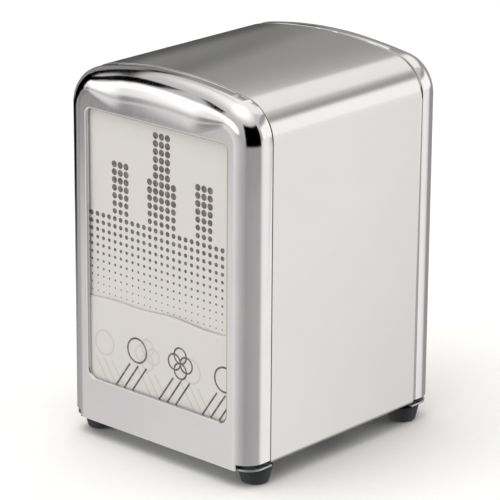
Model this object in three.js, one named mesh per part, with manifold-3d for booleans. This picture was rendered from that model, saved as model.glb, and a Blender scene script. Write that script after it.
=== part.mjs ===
// Two-sided table napkin dispenser: a bent stainless sleeve on a base plate, two chromed
// window frames that pull off for filling, and a spring-loaded pusher behind each stack.
// Millimetres, +Z up. The origin is on the table, under the middle of the body.
import * as THREE from "three";
import { mergeVertices } from "three/addons/utils/BufferGeometryUtils.js";
import Module from "manifold-3d";

const wasm = await Module();
wasm.setup();

// ---------- driving dimensions ----------

const WIDTH = 88.5;
const DEPTH = 101;
const HEIGHT = 140;
const ARCH_RISE = 6;
const CORNER_RADIUS = 14.4;

const SHEET = 0.6;
const PLATE = 0.8;
const GAP = 0.3;

const FRAME_STEP = 0.2;
const FRAME_ROLL = 7.5;
const FRAME_LIP_DEPTH = 11.2;
const FRAME_FLANGE_DEPTH = 8;
const FRAME_CROWN = 7.6;
const CROWN_HALF_WIDTH = 16;
const WINDOW_HALF_WIDTH = 33.3;
const WINDOW_BOTTOM = 22.7;
const WINDOW_TOP = 122.6;
const WINDOW_LOWER_RADIUS = 3.5;
const WINDOW_UPPER_RADIUS = 2;
const WINDOW_HEM = 1.5;

const FOOT_X = 37.7;
const FOOT_Y = 40;
const FOOT_TOP_RADIUS = 6.3;
const FOOT_LOW_RADIUS = 4.95;
const BASE_BOTTOM = 6.2;

const REAR_SEAM_GAP = 0.9;
const SLOT_HEIGHT = 1.7;

const NAPKIN_HALF_WIDTH = 42.1;
const NAPKIN_FLOOR = 9.4;
const NAPKIN_TOP = 124;
const TOP_NAPKIN_THICKNESS = 1.2;
const NAPKIN_BOW = 2.2;
const NAPKIN_FLAT_HALF_WIDTH = 30;

const PUSHER_HALF_WIDTH = 41.4;
const PUSHER_FRONT = 17.4;
const PUSHER_SKIRT = 7;
const PUSHER_BOTTOM = 9.8;
const PUSHER_TOP = 126;

const SPRING_WIRE_RADIUS = 0.6;
const SPRING_TURNS = 5;
const SPRING_WIDE_RADIUS = 26;
const SPRING_NARROW_RADIUS = 13;
const SPRING_HEIGHT = 68;

// ---------- worked out from them ----------

const HALF_WIDTH = WIDTH / 2;
const FRONT = DEPTH / 2;
const BASE_TOP = BASE_BOTTOM + PLATE;
const SLEEVE_BOTTOM = BASE_TOP + GAP;
const FRAME_END = FRONT - FRAME_LIP_DEPTH;
const SLEEVE_FRONT = FRAME_END - GAP;
const SLEEVE_REAR = FRAME_END - REAR_SEAM_GAP;
const COLUMN_BOTTOM = BASE_TOP + SLOT_HEIGHT;
const NAPKIN_FRONT = FRONT - WINDOW_HEM - 1;
const STACK_FRONT = NAPKIN_FRONT - TOP_NAPKIN_THICKNESS - GAP;
const ARCH_RADIUS = (HALF_WIDTH ** 2 + ARCH_RISE ** 2) / (2 * ARCH_RISE);
const ARCH_CENTRE = HEIGHT - ARCH_RADIUS;
const CORNER_X = HALF_WIDTH - CORNER_RADIUS;
const CORNER_LEAN = Math.asin(CORNER_X / (ARCH_RADIUS - CORNER_RADIUS));
const CORNER_Z = ARCH_CENTRE + Math.cos(CORNER_LEAN) * (ARCH_RADIUS - CORNER_RADIUS);

// ---------- finishes ----------

const FINISHES = {
  satin: { color: 0xc9cac8, roughness: 0.38, metalness: 1 },
  chrome: { color: 0xdcdde0, roughness: 0.08, metalness: 1 },
  zinc: { color: 0xa9adb0, roughness: 0.45, metalness: 1 },
  wire: { color: 0x9a9c9e, roughness: 0.3, metalness: 1 },
  rubber: { color: 0x1c1d1e, roughness: 0.75, metalness: 0 },
  paper: { color: 0xe9e5dc, roughness: 0.95, metalness: 0 },
};

const group = new THREE.Group();

/** Adds a named part of that finish to a parent. */
function addPart(name, geometry, finish, parent = group) {
  const mesh = new THREE.Mesh(geometry, new THREE.MeshStandardMaterial(FINISHES[finish]));
  mesh.name = name;
  parent.add(mesh);
  return mesh;
}

// ---------- solids ----------

/** The boolean library's solid of a closed geometry. */
function toSolid(geometry) {
  const bare = geometry.clone();
  bare.deleteAttribute("normal");
  bare.deleteAttribute("uv");
  const merged = mergeVertices(bare, 1e-4);
  const mesh = new wasm.Mesh({
    numProp: 3,
    vertProperties: new Float32Array(merged.attributes.position.array),
    triVerts: new Uint32Array(merged.index.array),
  });
  return new wasm.Manifold(mesh);
}

/** A geometry of the boolean library's solid. */
function toGeometry(solid) {
  const mesh = solid.getMesh();
  const geometry = new THREE.BufferGeometry();
  geometry.setAttribute("position", new THREE.BufferAttribute(mesh.vertProperties, 3));
  geometry.setIndex(new THREE.BufferAttribute(mesh.triVerts, 1));
  return geometry;
}

/** A box between two corners. */
function box(low, high) {
  const size = high.map((value, i) => value - low[i]);
  const middle = high.map((value, i) => (value + low[i]) / 2);
  return new THREE.BoxGeometry(...size).translate(...middle);
}

/** An upright cylinder at x, y between two heights. */
function post(radius, x, y, low, high, sides = 12) {
  const geometry = new THREE.CylinderGeometry(radius, radius, high - low, sides);
  return geometry.rotateX(Math.PI / 2).translate(x, y, (low + high) / 2);
}

/** A turned solid about the upright line through x, y, from [radius, height] points. */
function turned(profile, x, y, sides = 20) {
  const points = profile.map(([radius, height]) => new THREE.Vector2(radius, height));
  return new THREE.LatheGeometry(points, sides).rotateX(Math.PI / 2).translate(x, y, 0);
}

/** A flat outline in X and Z, extruded along Y from the first depth to the second. */
function extrudeAlongY(points, start, end) {
  const shape = new THREE.Shape(points.map(([x, z]) => new THREE.Vector2(x, z)));
  const geometry = new THREE.ExtrudeGeometry(shape, { depth: end - start, bevelEnabled: false });
  return geometry.rotateX(Math.PI / 2).translate(0, end, 0);
}

/** [x, z] points of an arc, both ends included, with angles in radians from +X. */
function arc(centreX, centreZ, radius, from, to, steps) {
  const points = [];
  for (let i = 0; i <= steps; i += 1) {
    const angle = from + ((to - from) * i) / steps;
    points.push([centreX + radius * Math.cos(angle), centreZ + radius * Math.sin(angle)]);
  }
  return points;
}

/** The arched roof line from the left side to the right one, moved inwards by inset. */
function roofLine(inset, cornerSteps, archSteps) {
  const corner = CORNER_RADIUS - inset;
  const upright = Math.PI / 2;
  const left = arc(-CORNER_X, CORNER_Z, corner, Math.PI, upright + CORNER_LEAN, cornerSteps);
  const roof = arc(
    0, ARCH_CENTRE, ARCH_RADIUS - inset, upright + CORNER_LEAN, upright - CORNER_LEAN, archSteps,
  );
  const right = arc(CORNER_X, CORNER_Z, corner, upright - CORNER_LEAN, 0, cornerSteps);
  return [...left, ...roof.slice(1, -1), ...right];
}

/** A closed solid of rings, each joined to the next and the last to the first. */
function ringSolid(rings) {
  const count = rings[0].length;
  const positions = rings.flat(2);
  const index = [];
  for (let ring = 0; ring < rings.length; ring += 1) {
    const next = (ring + 1) % rings.length;
    for (let i = 0; i < count; i += 1) {
      const j = (i + 1) % count;
      const a = ring * count + i;
      const b = ring * count + j;
      const c = next * count + j;
      const d = next * count + i;
      index.push(a, b, c, a, c, d);
    }
  }
  const geometry = new THREE.BufferGeometry();
  geometry.setAttribute("position", new THREE.Float32BufferAttribute(positions, 3));
  geometry.setIndex(index);
  return geometry;
}

// ---------- sleeve and base ----------

const FLANGE_TIP_X = 33;
const FLANGE_HALF_LENGTH = 32;
const BEND_RADIUS = 1.5;
const SLEEVE_RIVET_X = 37.5;
const SLEEVE_RIVET_Y = 24;
const PARTITION_RIVETS = [[-27, -7], [27, -7], [-10, 7], [10, 7]];
const HOLE_RADIUS = 1.8;
const SHANK_RADIUS = 1.5;
const CORNERS = [
  ["front_left", -1, -1],
  ["front_right", 1, -1],
  ["rear_left", -1, 1],
  ["rear_right", 1, 1],
];

/** One face of the sleeve's sheet: flange, bend, side, roof, side, bend and flange. */
function sleeveLine(inset) {
  const bendX = HALF_WIDTH - BEND_RADIUS;
  const bendZ = SLEEVE_BOTTOM + BEND_RADIUS;
  const radius = BEND_RADIUS - inset;
  const left = arc(-bendX, bendZ, radius, -Math.PI / 2, -Math.PI, 4);
  const right = arc(bendX, bendZ, radius, 0, -Math.PI / 2, 4);
  const low = SLEEVE_BOTTOM + inset;
  return [[-FLANGE_TIP_X, low], ...left, ...roofLine(inset, 8, 12), ...right, [FLANGE_TIP_X, low]];
}

/** The bent sleeve: sides, arched roof and turned-in flanges with corner notches. */
function sleeveShell() {
  const section = [...sleeveLine(0), ...sleeveLine(SHEET).reverse()];
  let solid = toSolid(extrudeAlongY(section, -SLEEVE_FRONT, SLEEVE_REAR));
  const notchHeight = SLEEVE_BOTTOM + BEND_RADIUS + 0.4;
  const notchX = HALF_WIDTH - SHEET - 1;
  for (const [, sideX, sideY] of CORNERS) {
    const xs = [sideX * (FLANGE_TIP_X - 1), sideX * notchX].sort((a, b) => a - b);
    const ys = [sideY * FLANGE_HALF_LENGTH, sideY * FRONT].sort((a, b) => a - b);
    const notch = box([xs[0], ys[0], BASE_BOTTOM], [xs[1], ys[1], notchHeight]);
    solid = solid.subtract(toSolid(notch));
    const x = sideX * SLEEVE_RIVET_X;
    const y = sideY * SLEEVE_RIVET_Y;
    solid = solid.subtract(toSolid(post(HOLE_RADIUS, x, y, BASE_BOTTOM, notchHeight)));
  }
  return toGeometry(solid);
}

/** The flat base plate: full width under the frames, narrower and out of sight under the sleeve. */
function basePlate() {
  const halfX = HALF_WIDTH - FRAME_STEP;
  const halfY = FRONT - SHEET - 0.45;
  const waistX = HALF_WIDTH - BEND_RADIUS - 0.4;
  const waistY = SLEEVE_REAR - GAP;
  const radius = FRAME_ROLL - 0.9;
  const x = halfX - radius;
  const y = halfY - radius;
  const outline = [
    [waistX, -waistY],
    [waistX, waistY],
    [halfX, waistY],
    ...arc(x, y, radius, 0, Math.PI / 2, 6),
    ...arc(-x, y, radius, Math.PI / 2, Math.PI, 6),
    [-halfX, waistY],
    [-waistX, waistY],
    [-waistX, -waistY],
    [-halfX, -waistY],
    ...arc(-x, -y, radius, Math.PI, Math.PI * 1.5, 6),
    ...arc(x, -y, radius, Math.PI * 1.5, Math.PI * 2, 6),
    [halfX, -waistY],
  ];
  const shape = new THREE.Shape(outline.map(([px, py]) => new THREE.Vector2(px, py)));
  const sheet = new THREE.ExtrudeGeometry(shape, { depth: PLATE, bevelEnabled: false });
  let solid = toSolid(sheet.translate(0, 0, BASE_BOTTOM));
  const feet = CORNERS.map(([, sideX, sideY]) => [sideX * FOOT_X, sideY * FOOT_Y]);
  const sides = CORNERS.map(([, sideX, sideY]) => [sideX * SLEEVE_RIVET_X, sideY * SLEEVE_RIVET_Y]);
  for (const [holeX, holeY] of [...feet, ...sides, ...PARTITION_RIVETS]) {
    const hole = post(HOLE_RADIUS, holeX, holeY, BASE_BOTTOM - 1, BASE_TOP + 1);
    solid = solid.subtract(toSolid(hole));
  }
  return toGeometry(solid);
}

/** A rivet with a domed head from headLow up, and a flat tail that ends at tailHigh. */
function rivet(x, y, headLow, tailHigh) {
  const profile = [
    [0, tailHigh - 0.8],
    [2.5, tailHigh - 0.8],
    [2.5, tailHigh],
    [SHANK_RADIUS, tailHigh],
    [SHANK_RADIUS, headLow],
    [2.8, headLow],
    [1.9, headLow + 0.75],
    [0, headLow + 0.85],
  ];
  return turned(profile, x, y, 12);
}

const FOOT_SEAT = 2.6;
const FOOT_BORE = 3.4;

/** A tapered rubber foot with a recess for its rivet's tail. */
function foot(x, y) {
  const top = BASE_BOTTOM - GAP;
  const profile = [
    [FOOT_BORE, 0],
    [FOOT_LOW_RADIUS - 0.6, 0],
    [FOOT_LOW_RADIUS - 0.15, 0.25],
    [FOOT_LOW_RADIUS, 0.8],
    [FOOT_TOP_RADIUS, top - 0.4],
    [FOOT_TOP_RADIUS - 0.15, top],
    [HOLE_RADIUS, top],
    [HOLE_RADIUS, FOOT_SEAT],
    [FOOT_BORE, FOOT_SEAT],
    [FOOT_BORE, 0],
  ];
  return turned(profile, x, y);
}

addPart("sleeve_shell", sleeveShell(), "satin");
addPart("base_plate", basePlate(), "zinc");
for (const [corner, sideX, sideY] of CORNERS) {
  const footX = sideX * FOOT_X;
  const footY = sideY * FOOT_Y;
  const rivetX = sideX * SLEEVE_RIVET_X;
  const rivetY = sideY * SLEEVE_RIVET_Y;
  const flangeTop = SLEEVE_BOTTOM + SHEET;
  addPart(`foot_${corner}`, foot(footX, footY), "rubber");
  addPart(`foot_rivet_${corner}`, rivet(footX, footY, BASE_TOP + GAP, FOOT_SEAT - GAP), "zinc");
  addPart(
    `sleeve_rivet_${corner}`, rivet(rivetX, rivetY, flangeTop + GAP, BASE_BOTTOM - GAP), "zinc",
  );
}

// ---------- centre partition ----------

const PARTITION_HALF_WIDTH = 41;
const PARTITION_TOP = 128;
const PARTITION_TAB_DEPTH = 12;
const PARTITION_TAB_HALF_WIDTH = 6;
const PARTITION_RETURN = 6;

/** The plate that the springs push from, with tabs riveted to the base and bent side edges. */
function centrePartition() {
  const low = SLEEVE_BOTTOM;
  const shoulder = SLEEVE_BOTTOM + SHEET + 0.4;
  const half = PLATE / 2;
  const neck = FLANGE_TIP_X - 1.5;
  const corner = 6;
  const outline = [
    [-neck, low],
    [neck, low],
    [neck, shoulder],
    [PARTITION_HALF_WIDTH, shoulder],
    ...arc(PARTITION_HALF_WIDTH - corner, PARTITION_TOP - corner, corner, 0, Math.PI / 2, 4),
    ...arc(corner - PARTITION_HALF_WIDTH, PARTITION_TOP - corner, corner, Math.PI / 2, Math.PI, 4),
    [-PARTITION_HALF_WIDTH, shoulder],
    [-neck, shoulder],
  ];
  let solid = toSolid(extrudeAlongY(outline, -half, half));
  for (const [x, y] of PARTITION_RIVETS) {
    const ys = y < 0 ? [-PARTITION_TAB_DEPTH, 0] : [0, PARTITION_TAB_DEPTH];
    const left = x - PARTITION_TAB_HALF_WIDTH;
    const right = x + PARTITION_TAB_HALF_WIDTH;
    solid = solid.add(toSolid(box([left, ys[0], low], [right, ys[1], low + PLATE])));
    solid = solid.subtract(toSolid(post(HOLE_RADIUS, x, y, low - 1, low + PLATE + 1)));
  }
  for (const side of [-1, 1]) {
    const xs = [side * PARTITION_HALF_WIDTH, side * (PARTITION_HALF_WIDTH - PLATE)];
    xs.sort((a, b) => a - b);
    const edge = box([xs[0], 0, shoulder + 4], [xs[1], PARTITION_RETURN, PARTITION_TOP - 10]);
    solid = solid.add(toSolid(edge));
  }
  return toGeometry(solid);
}

addPart("centre_partition", centrePartition(), "zinc");
PARTITION_RIVETS.forEach(([x, y], i) => {
  const headLow = SLEEVE_BOTTOM + PLATE + GAP;
  addPart(`partition_rivet_${i + 1}`, rivet(x, y, headLow, BASE_BOTTOM - GAP), "zinc");
});

// ---------- one side of the dispenser, facing -Y ----------

const LOWER_STEPS = 3;
const UPPER_STEPS = 6;
const ROOF_STEPS = 10;
const ROLL_STEPS = 6;
const BLANK_BOTTOM = -30;
const BLANK_CORNER = 10;
const APRON_HALF_WIDTH = 38;
const TAB_MIDDLE_X = 19;
const TAB_HALF_WIDTH = 5;

/** A ring of the frame's outer shape, moved inwards by inset, at depth y. */
function frameRing(inset, y) {
  const x = HALF_WIDTH - BLANK_CORNER;
  const z = BLANK_BOTTOM + BLANK_CORNER;
  const radius = BLANK_CORNER - inset;
  const points = [
    ...arc(-x, z, radius, -Math.PI / 2, -Math.PI, LOWER_STEPS),
    ...roofLine(inset, UPPER_STEPS, ROOF_STEPS),
    ...arc(x, z, radius, 0, -Math.PI / 2, LOWER_STEPS),
  ];
  return points.map(([px, pz]) => [px, y, pz]);
}

/** A ring of the window, grown outwards by outset, with as many points as a frame ring. */
function windowRing(outset, y) {
  const low = WINDOW_LOWER_RADIUS + outset;
  const high = WINDOW_UPPER_RADIUS + outset;
  const lowX = WINDOW_HALF_WIDTH - WINDOW_LOWER_RADIUS;
  const highX = WINDOW_HALF_WIDTH - WINDOW_UPPER_RADIUS;
  const lowZ = WINDOW_BOTTOM + WINDOW_LOWER_RADIUS;
  const highZ = WINDOW_TOP - WINDOW_UPPER_RADIUS;
  const top = [];
  for (let i = 1; i < ROOF_STEPS; i += 1) {
    top.push([highX * ((2 * i) / ROOF_STEPS - 1), WINDOW_TOP + outset]);
  }
  const points = [
    ...arc(-lowX, lowZ, low, -Math.PI / 2, -Math.PI, LOWER_STEPS),
    ...arc(-highX, highZ, high, Math.PI, Math.PI / 2, UPPER_STEPS),
    ...top,
    ...arc(highX, highZ, high, Math.PI / 2, 0, UPPER_STEPS),
    ...arc(lowX, lowZ, low, 0, -Math.PI / 2, LOWER_STEPS),
  ];
  return points.map(([px, pz]) => [px, y, pz]);
}

/** How much of the crown's extra reach there is at x: all in the middle, none at the sides. */
function crownShare(x) {
  const run = HALF_WIDTH - FRAME_STEP - FRAME_ROLL - CROWN_HALF_WIDTH;
  const t = Math.min(1, Math.max(0, (Math.abs(x) - CROWN_HALF_WIDTH) / run));
  return 1 - t * t * (3 - 2 * t);
}

/** Rings of the rolled rim on one face of its sheet. Over the window the roll reaches lower. */
function rollRings(radius) {
  const rings = [];
  for (let i = 0; i <= ROLL_STEPS; i += 1) {
    const angle = (Math.PI / 2) * (i / ROLL_STEPS);
    const inset = FRAME_STEP + FRAME_ROLL - radius * Math.sin(angle);
    const drop = FRAME_CROWN * (1 - Math.sin(angle));
    const ring = frameRing(inset, -FRONT + FRAME_ROLL - radius * Math.cos(angle));
    rings.push(ring.map(([x, y, z]) => [x, y, z - drop * crownShare(x)]));
  }
  return rings;
}

/** The pressed window frame: hemmed window, face, rolled rim, and a flange for the sleeve. */
function windowFrame() {
  const flange = FRAME_STEP + SHEET + GAP;
  const inside = flange + SHEET;
  const tip = -FRAME_END + FRAME_FLANGE_DEPTH;
  const blank = ringSolid([
    windowRing(0, -FRONT + WINDOW_HEM),
    windowRing(0, -FRONT + 0.4),
    windowRing(0.4, -FRONT),
    ...rollRings(FRAME_ROLL),
    frameRing(FRAME_STEP, -FRAME_END),
    frameRing(flange, -FRAME_END),
    frameRing(flange, tip),
    frameRing(inside, tip),
    frameRing(inside, -FRAME_END - SHEET),
    ...rollRings(FRAME_ROLL - SHEET).reverse(),
    windowRing(SHEET + 0.3, -FRONT + SHEET),
    windowRing(SHEET, -FRONT + SHEET + 0.3),
    windowRing(SHEET, -FRONT + WINDOW_HEM),
  ]);
  const solid = toSolid(blank);
  const upper = box([-WIDTH, -DEPTH, COLUMN_BOTTOM], [WIDTH, 0, HEIGHT * 2]);
  const apronLow = [-APRON_HALF_WIDTH, -DEPTH, BASE_BOTTOM];
  const apronHigh = [APRON_HALF_WIDTH, -FRONT + SHEET + 0.15, COLUMN_BOTTOM + 1];
  const apron = box(apronLow, apronHigh);
  let frame = solid.intersect(toSolid(upper)).add(solid.intersect(toSolid(apron)));
  for (const side of [-1, 1]) {
    const x = side * TAB_MIDDLE_X;
    const tabLow = [x - TAB_HALF_WIDTH, -FRONT + 0.2, SLEEVE_BOTTOM];
    const tabHigh = [x + TAB_HALF_WIDTH, -FRONT + FRAME_FLANGE_DEPTH, SLEEVE_BOTTOM + SHEET];
    frame = frame.add(toSolid(box(tabLow, tabHigh)));
  }
  return toGeometry(frame);
}

const CLIP_X = 18;
const CLIP_WIDTH = 10;
const CLIP_SHEET = 0.5;

/** A leaf clip under the frame's roof flange, with a hump that grips inside the sleeve. */
function leafClip(side) {
  const seat = -FRAME_STEP - SHEET - GAP - SHEET - GAP;
  const rise = SHEET + FRAME_STEP;
  const tip = -FRAME_END + FRAME_FLANGE_DEPTH;
  const line = [
    [-FRAME_END + 0.6, seat],
    [tip + 1, seat],
    [tip + 4, seat + rise * 0.6],
    [tip + 6, seat + rise],
    [tip + 8, seat + rise * 0.6],
    [tip + 12, seat - 0.8],
  ];
  const under = line.map(([y, z]) => [y, z - CLIP_SHEET]).reverse();
  const shape = new THREE.Shape([...line, ...under].map(([y, z]) => new THREE.Vector2(y, z)));
  const strip = new THREE.ExtrudeGeometry(shape, { depth: CLIP_WIDTH, bevelEnabled: false });
  strip.translate(0, ARCH_RADIUS, -CLIP_WIDTH / 2);
  strip.applyMatrix4(new THREE.Matrix4().set(0, 0, 1, 0, 1, 0, 0, 0, 0, 1, 0, 0, 0, 0, 0, 1));
  const lean = Math.asin(CLIP_X / ARCH_RADIUS);
  return strip.rotateY(side * lean).translate(0, 0, ARCH_CENTRE);
}

/** The plan line, left to right, of a napkin that is flat at depth front and curls at its edges. */
function bowedLine(front) {
  const run = NAPKIN_HALF_WIDTH - NAPKIN_FLAT_HALF_WIDTH;
  const curl = (run ** 2 + NAPKIN_BOW ** 2) / (2 * NAPKIN_BOW);
  const radius = curl - (NAPKIN_FRONT - front);
  const y = -NAPKIN_FRONT + curl;
  const turn = Math.asin(run / radius);
  const ahead = -Math.PI / 2;
  return [
    ...arc(-NAPKIN_FLAT_HALF_WIDTH, y, radius, ahead - turn, ahead, 5),
    ...arc(NAPKIN_FLAT_HALF_WIDTH, y, radius, ahead, ahead + turn, 5),
  ];
}

/** A block of paper between two plan lines, the first in front and left to right. */
function napkinBlock(near, far) {
  const plan = [...near, ...far.toReversed()];
  const shape = new THREE.Shape(plan.map(([x, y]) => new THREE.Vector2(x, y)));
  const depth = NAPKIN_TOP - NAPKIN_FLOOR;
  const block = new THREE.ExtrudeGeometry(shape, { depth, bevelEnabled: false });
  return block.translate(0, 0, NAPKIN_FLOOR);
}

/** A rectangle in X and Z with its upper corners rounded. */
function plateOutline(halfWidth, low, high, radius) {
  return [
    [-halfWidth, low],
    [halfWidth, low],
    ...arc(halfWidth - radius, high - radius, radius, 0, Math.PI / 2, 4),
    ...arc(radius - halfWidth, high - radius, radius, Math.PI / 2, Math.PI, 4),
  ];
}

/** The pusher: a shallow tray open to the back, with a raised seat for its spring. */
function pusher() {
  const back = -PUSHER_FRONT + PLATE;
  const end = back + PUSHER_SKIRT;
  const outer = plateOutline(PUSHER_HALF_WIDTH, PUSHER_BOTTOM, PUSHER_TOP, 8);
  const inner = plateOutline(
    PUSHER_HALF_WIDTH - PLATE, PUSHER_BOTTOM + PLATE, PUSHER_TOP - PLATE, 8 - PLATE,
  );
  const block = toSolid(extrudeAlongY(outer, -PUSHER_FRONT, end));
  const hollow = toSolid(extrudeAlongY(inner, back, end + 1));
  const seatDepth = 3;
  const seatRadius = SPRING_NARROW_RADIUS - SPRING_WIRE_RADIUS - 0.5;
  const seat = new THREE.CylinderGeometry(seatRadius - 0.8, seatRadius, seatDepth, 28);
  seat.translate(0, back - 0.4 + seatDepth / 2, SPRING_HEIGHT);
  return toGeometry(block.subtract(hollow).add(toSolid(seat)));
}

/** The centreline of a tapered coil spring from the partition to the pusher. */
class TaperedCoil extends THREE.Curve {
  getPoint(t, target = new THREE.Vector3()) {
    const start = -PLATE / 2 - GAP - SPRING_WIRE_RADIUS;
    const end = -PUSHER_FRONT + PLATE + GAP + SPRING_WIRE_RADIUS;
    const angle = t * SPRING_TURNS * Math.PI * 2;
    const radius = SPRING_WIDE_RADIUS + (SPRING_NARROW_RADIUS - SPRING_WIDE_RADIUS) * t;
    const x = radius * Math.cos(angle);
    const z = SPRING_HEIGHT + radius * Math.sin(angle);
    return target.set(x, start + (end - start) * t, z);
  }
}

/** The wire of the tapered spring. */
function taperedSpring() {
  const section = new THREE.Shape();
  section.absarc(0, 0, SPRING_WIRE_RADIUS, 0, Math.PI * 2);
  const extrudePath = new TaperedCoil();
  const steps = SPRING_TURNS * 14;
  return new THREE.ExtrudeGeometry(section, { extrudePath, steps, curveSegments: 3 });
}

/** Every part of one side; the rear side is the front one turned half round. */
function addSide(side, parent) {
  addPart(`${side}_frame`, windowFrame(), "chrome", parent);
  addPart(`${side}_clip_left`, leafClip(-1), "wire", parent);
  addPart(`${side}_clip_right`, leafClip(1), "wire", parent);
  addPart(`${side}_pusher`, pusher(), "zinc", parent);
  addPart(`${side}_spring`, taperedSpring(), "wire", parent);
  const stackBack = -PUSHER_FRONT - GAP;
  const stackEnd = [[-NAPKIN_HALF_WIDTH, stackBack], [NAPKIN_HALF_WIDTH, stackBack]];
  addPart(`${side}_napkin_stack`, napkinBlock(bowedLine(STACK_FRONT), stackEnd), "paper", parent);
  const napkinBack = bowedLine(NAPKIN_FRONT - TOP_NAPKIN_THICKNESS);
  addPart(`${side}_napkin`, napkinBlock(bowedLine(NAPKIN_FRONT), napkinBack), "paper", parent);
}

addSide("front", group);
const rearSide = new THREE.Group();
rearSide.rotation.z = Math.PI;
group.add(rearSide);
addSide("rear", rearSide);

export default group;
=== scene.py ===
"""Dresses a two-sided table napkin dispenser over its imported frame.

A satin stainless sleeve carries two polished window frames, four rubber feet, two stacks of
folded tissue napkins with printed fronts, and the sprung pushers that press them forward.
Lengths are metres unless a name ends in _mm, Z is up and the front window faces -Y.
"""

import contextlib
import logging
import math
import random
from dataclasses import dataclass, field
from enum import Enum
from typing import Callable, Iterator

import bmesh
import bpy
from mathutils import Matrix, Vector


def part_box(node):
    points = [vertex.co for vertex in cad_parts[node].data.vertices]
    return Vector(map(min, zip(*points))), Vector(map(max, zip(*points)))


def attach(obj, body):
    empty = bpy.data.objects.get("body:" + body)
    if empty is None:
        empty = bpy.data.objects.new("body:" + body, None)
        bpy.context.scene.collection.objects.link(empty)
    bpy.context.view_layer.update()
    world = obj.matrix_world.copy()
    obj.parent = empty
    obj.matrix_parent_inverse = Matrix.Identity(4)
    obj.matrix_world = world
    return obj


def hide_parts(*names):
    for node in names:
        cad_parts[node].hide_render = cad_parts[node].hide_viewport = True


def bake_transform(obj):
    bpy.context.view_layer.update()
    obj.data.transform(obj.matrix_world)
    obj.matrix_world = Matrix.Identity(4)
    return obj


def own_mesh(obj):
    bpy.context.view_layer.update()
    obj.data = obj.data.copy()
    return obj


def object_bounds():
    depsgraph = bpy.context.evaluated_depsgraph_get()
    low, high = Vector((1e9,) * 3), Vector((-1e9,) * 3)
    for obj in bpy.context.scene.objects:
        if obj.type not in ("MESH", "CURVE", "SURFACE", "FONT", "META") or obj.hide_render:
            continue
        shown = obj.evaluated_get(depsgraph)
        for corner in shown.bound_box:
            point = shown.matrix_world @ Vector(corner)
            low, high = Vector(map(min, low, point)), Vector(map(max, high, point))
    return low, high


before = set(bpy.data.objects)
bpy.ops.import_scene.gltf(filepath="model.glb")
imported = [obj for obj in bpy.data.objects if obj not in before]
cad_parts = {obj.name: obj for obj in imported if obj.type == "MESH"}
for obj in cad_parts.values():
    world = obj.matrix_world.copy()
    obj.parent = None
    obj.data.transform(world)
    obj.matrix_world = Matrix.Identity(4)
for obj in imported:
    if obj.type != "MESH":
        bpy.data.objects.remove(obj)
CAD_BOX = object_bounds()

MM = 0.001
# Points closer than this count as being in the same place.
NEAR = 1e-6
log = logging.getLogger("dispenser")
Test = Callable[[Vector], bool]
Point = tuple[float, float]
Triple = tuple[float, float, float]


class Side(Enum):
    """Which end of the dispenser a piece faces, as the sign of Y."""

    FRONT = -1
    REAR = 1

    @property
    def label(self) -> str:
        """The word that the frame's names start with."""
        return self.name.lower()


class Pick(Enum):
    """What is selected in edit mode."""

    VERT = "VERT"
    EDGE = "EDGE"
    FACE = "FACE"


# ---------- hand tools ----------


def clear_selection() -> None:
    """Leaves edit mode and deselects every object."""
    if bpy.context.object and bpy.context.object.mode != "OBJECT":
        bpy.ops.object.mode_set(mode="OBJECT")
    bpy.ops.object.select_all(action="DESELECT")


def only(piece: bpy.types.Object) -> None:
    """Makes a piece the one selected and active object."""
    clear_selection()
    piece.select_set(True)
    bpy.context.view_layer.objects.active = piece


def settle(piece: bpy.types.Object) -> None:
    """Moves a piece's place, turn and scale into its mesh."""
    only(piece)
    bpy.ops.object.transform_apply(location=True, rotation=True, scale=True)


def named_primitive(name: str, scale: Triple = (1, 1, 1)) -> bpy.types.Object:
    """Names the primitive that was just added, sizes it and puts its place into its mesh.

    Args:
        name: The piece's name.
        scale: Its size along its own axes, as a multiple of what was added.

    Returns:
        The new object, at the origin, unturned and unscaled.
    """
    piece = bpy.context.object
    piece.name = name
    piece.data.name = name
    piece.scale = scale
    settle(piece)
    return piece


@contextlib.contextmanager
def editing(piece: bpy.types.Object) -> Iterator[None]:
    """Opens a piece in edit mode with nothing selected, and closes it again.

    Args:
        piece: The mesh object to shape.
    """
    only(piece)
    bpy.ops.object.mode_set(mode="EDIT")
    bpy.ops.mesh.select_all(action="DESELECT")
    try:
        yield
    finally:
        bpy.ops.object.mode_set(mode="OBJECT")


def pick(piece: bpy.types.Object, kind: Pick, test: Test) -> int:
    """Selects the elements whose points all pass a test, and nothing else.

    Args:
        piece: The object in edit mode.
        kind: Vertices, edges or faces.
        test: Says of a point whether it belongs.

    Returns:
        How many elements were selected.
    """
    bpy.ops.mesh.select_mode(type=kind.value)
    bpy.ops.mesh.select_all(action="DESELECT")
    mesh = bmesh.from_edit_mesh(piece.data)
    if kind is Pick.VERT:
        chosen = [vert for vert in mesh.verts if test(vert.co)]
    else:
        pool = mesh.edges if kind is Pick.EDGE else mesh.faces
        chosen = [item for item in pool if all(test(vert.co) for vert in item.verts)]
    for item in chosen:
        item.select_set(True)
    mesh.select_flush_mode()
    bmesh.update_edit_mesh(piece.data)
    return len(chosen)


def narrow(piece: bpy.types.Object, keep: Callable[[bmesh.types.BMEdge], bool]) -> None:
    """Deselects the selected edges that fail a test.

    Args:
        piece: The object in edit mode.
        keep: Says of an edge whether it stays selected.
    """
    mesh = bmesh.from_edit_mesh(piece.data)
    for edge in mesh.edges:
        if edge.select and not keep(edge):
            edge.select_set(False)
    bmesh.update_edit_mesh(piece.data)


def cut(point: Triple, way: Triple, clear_inner: bool = False) -> None:
    """Cuts the whole mesh in edit mode along a plane.

    Args:
        point: A point on the plane.
        way: The plane's normal.
        clear_inner: Whether what lies behind the plane is removed.
    """
    bpy.ops.mesh.select_all(action="SELECT")
    bpy.ops.mesh.bisect(plane_co=point, plane_no=way, clear_inner=clear_inner)


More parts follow.
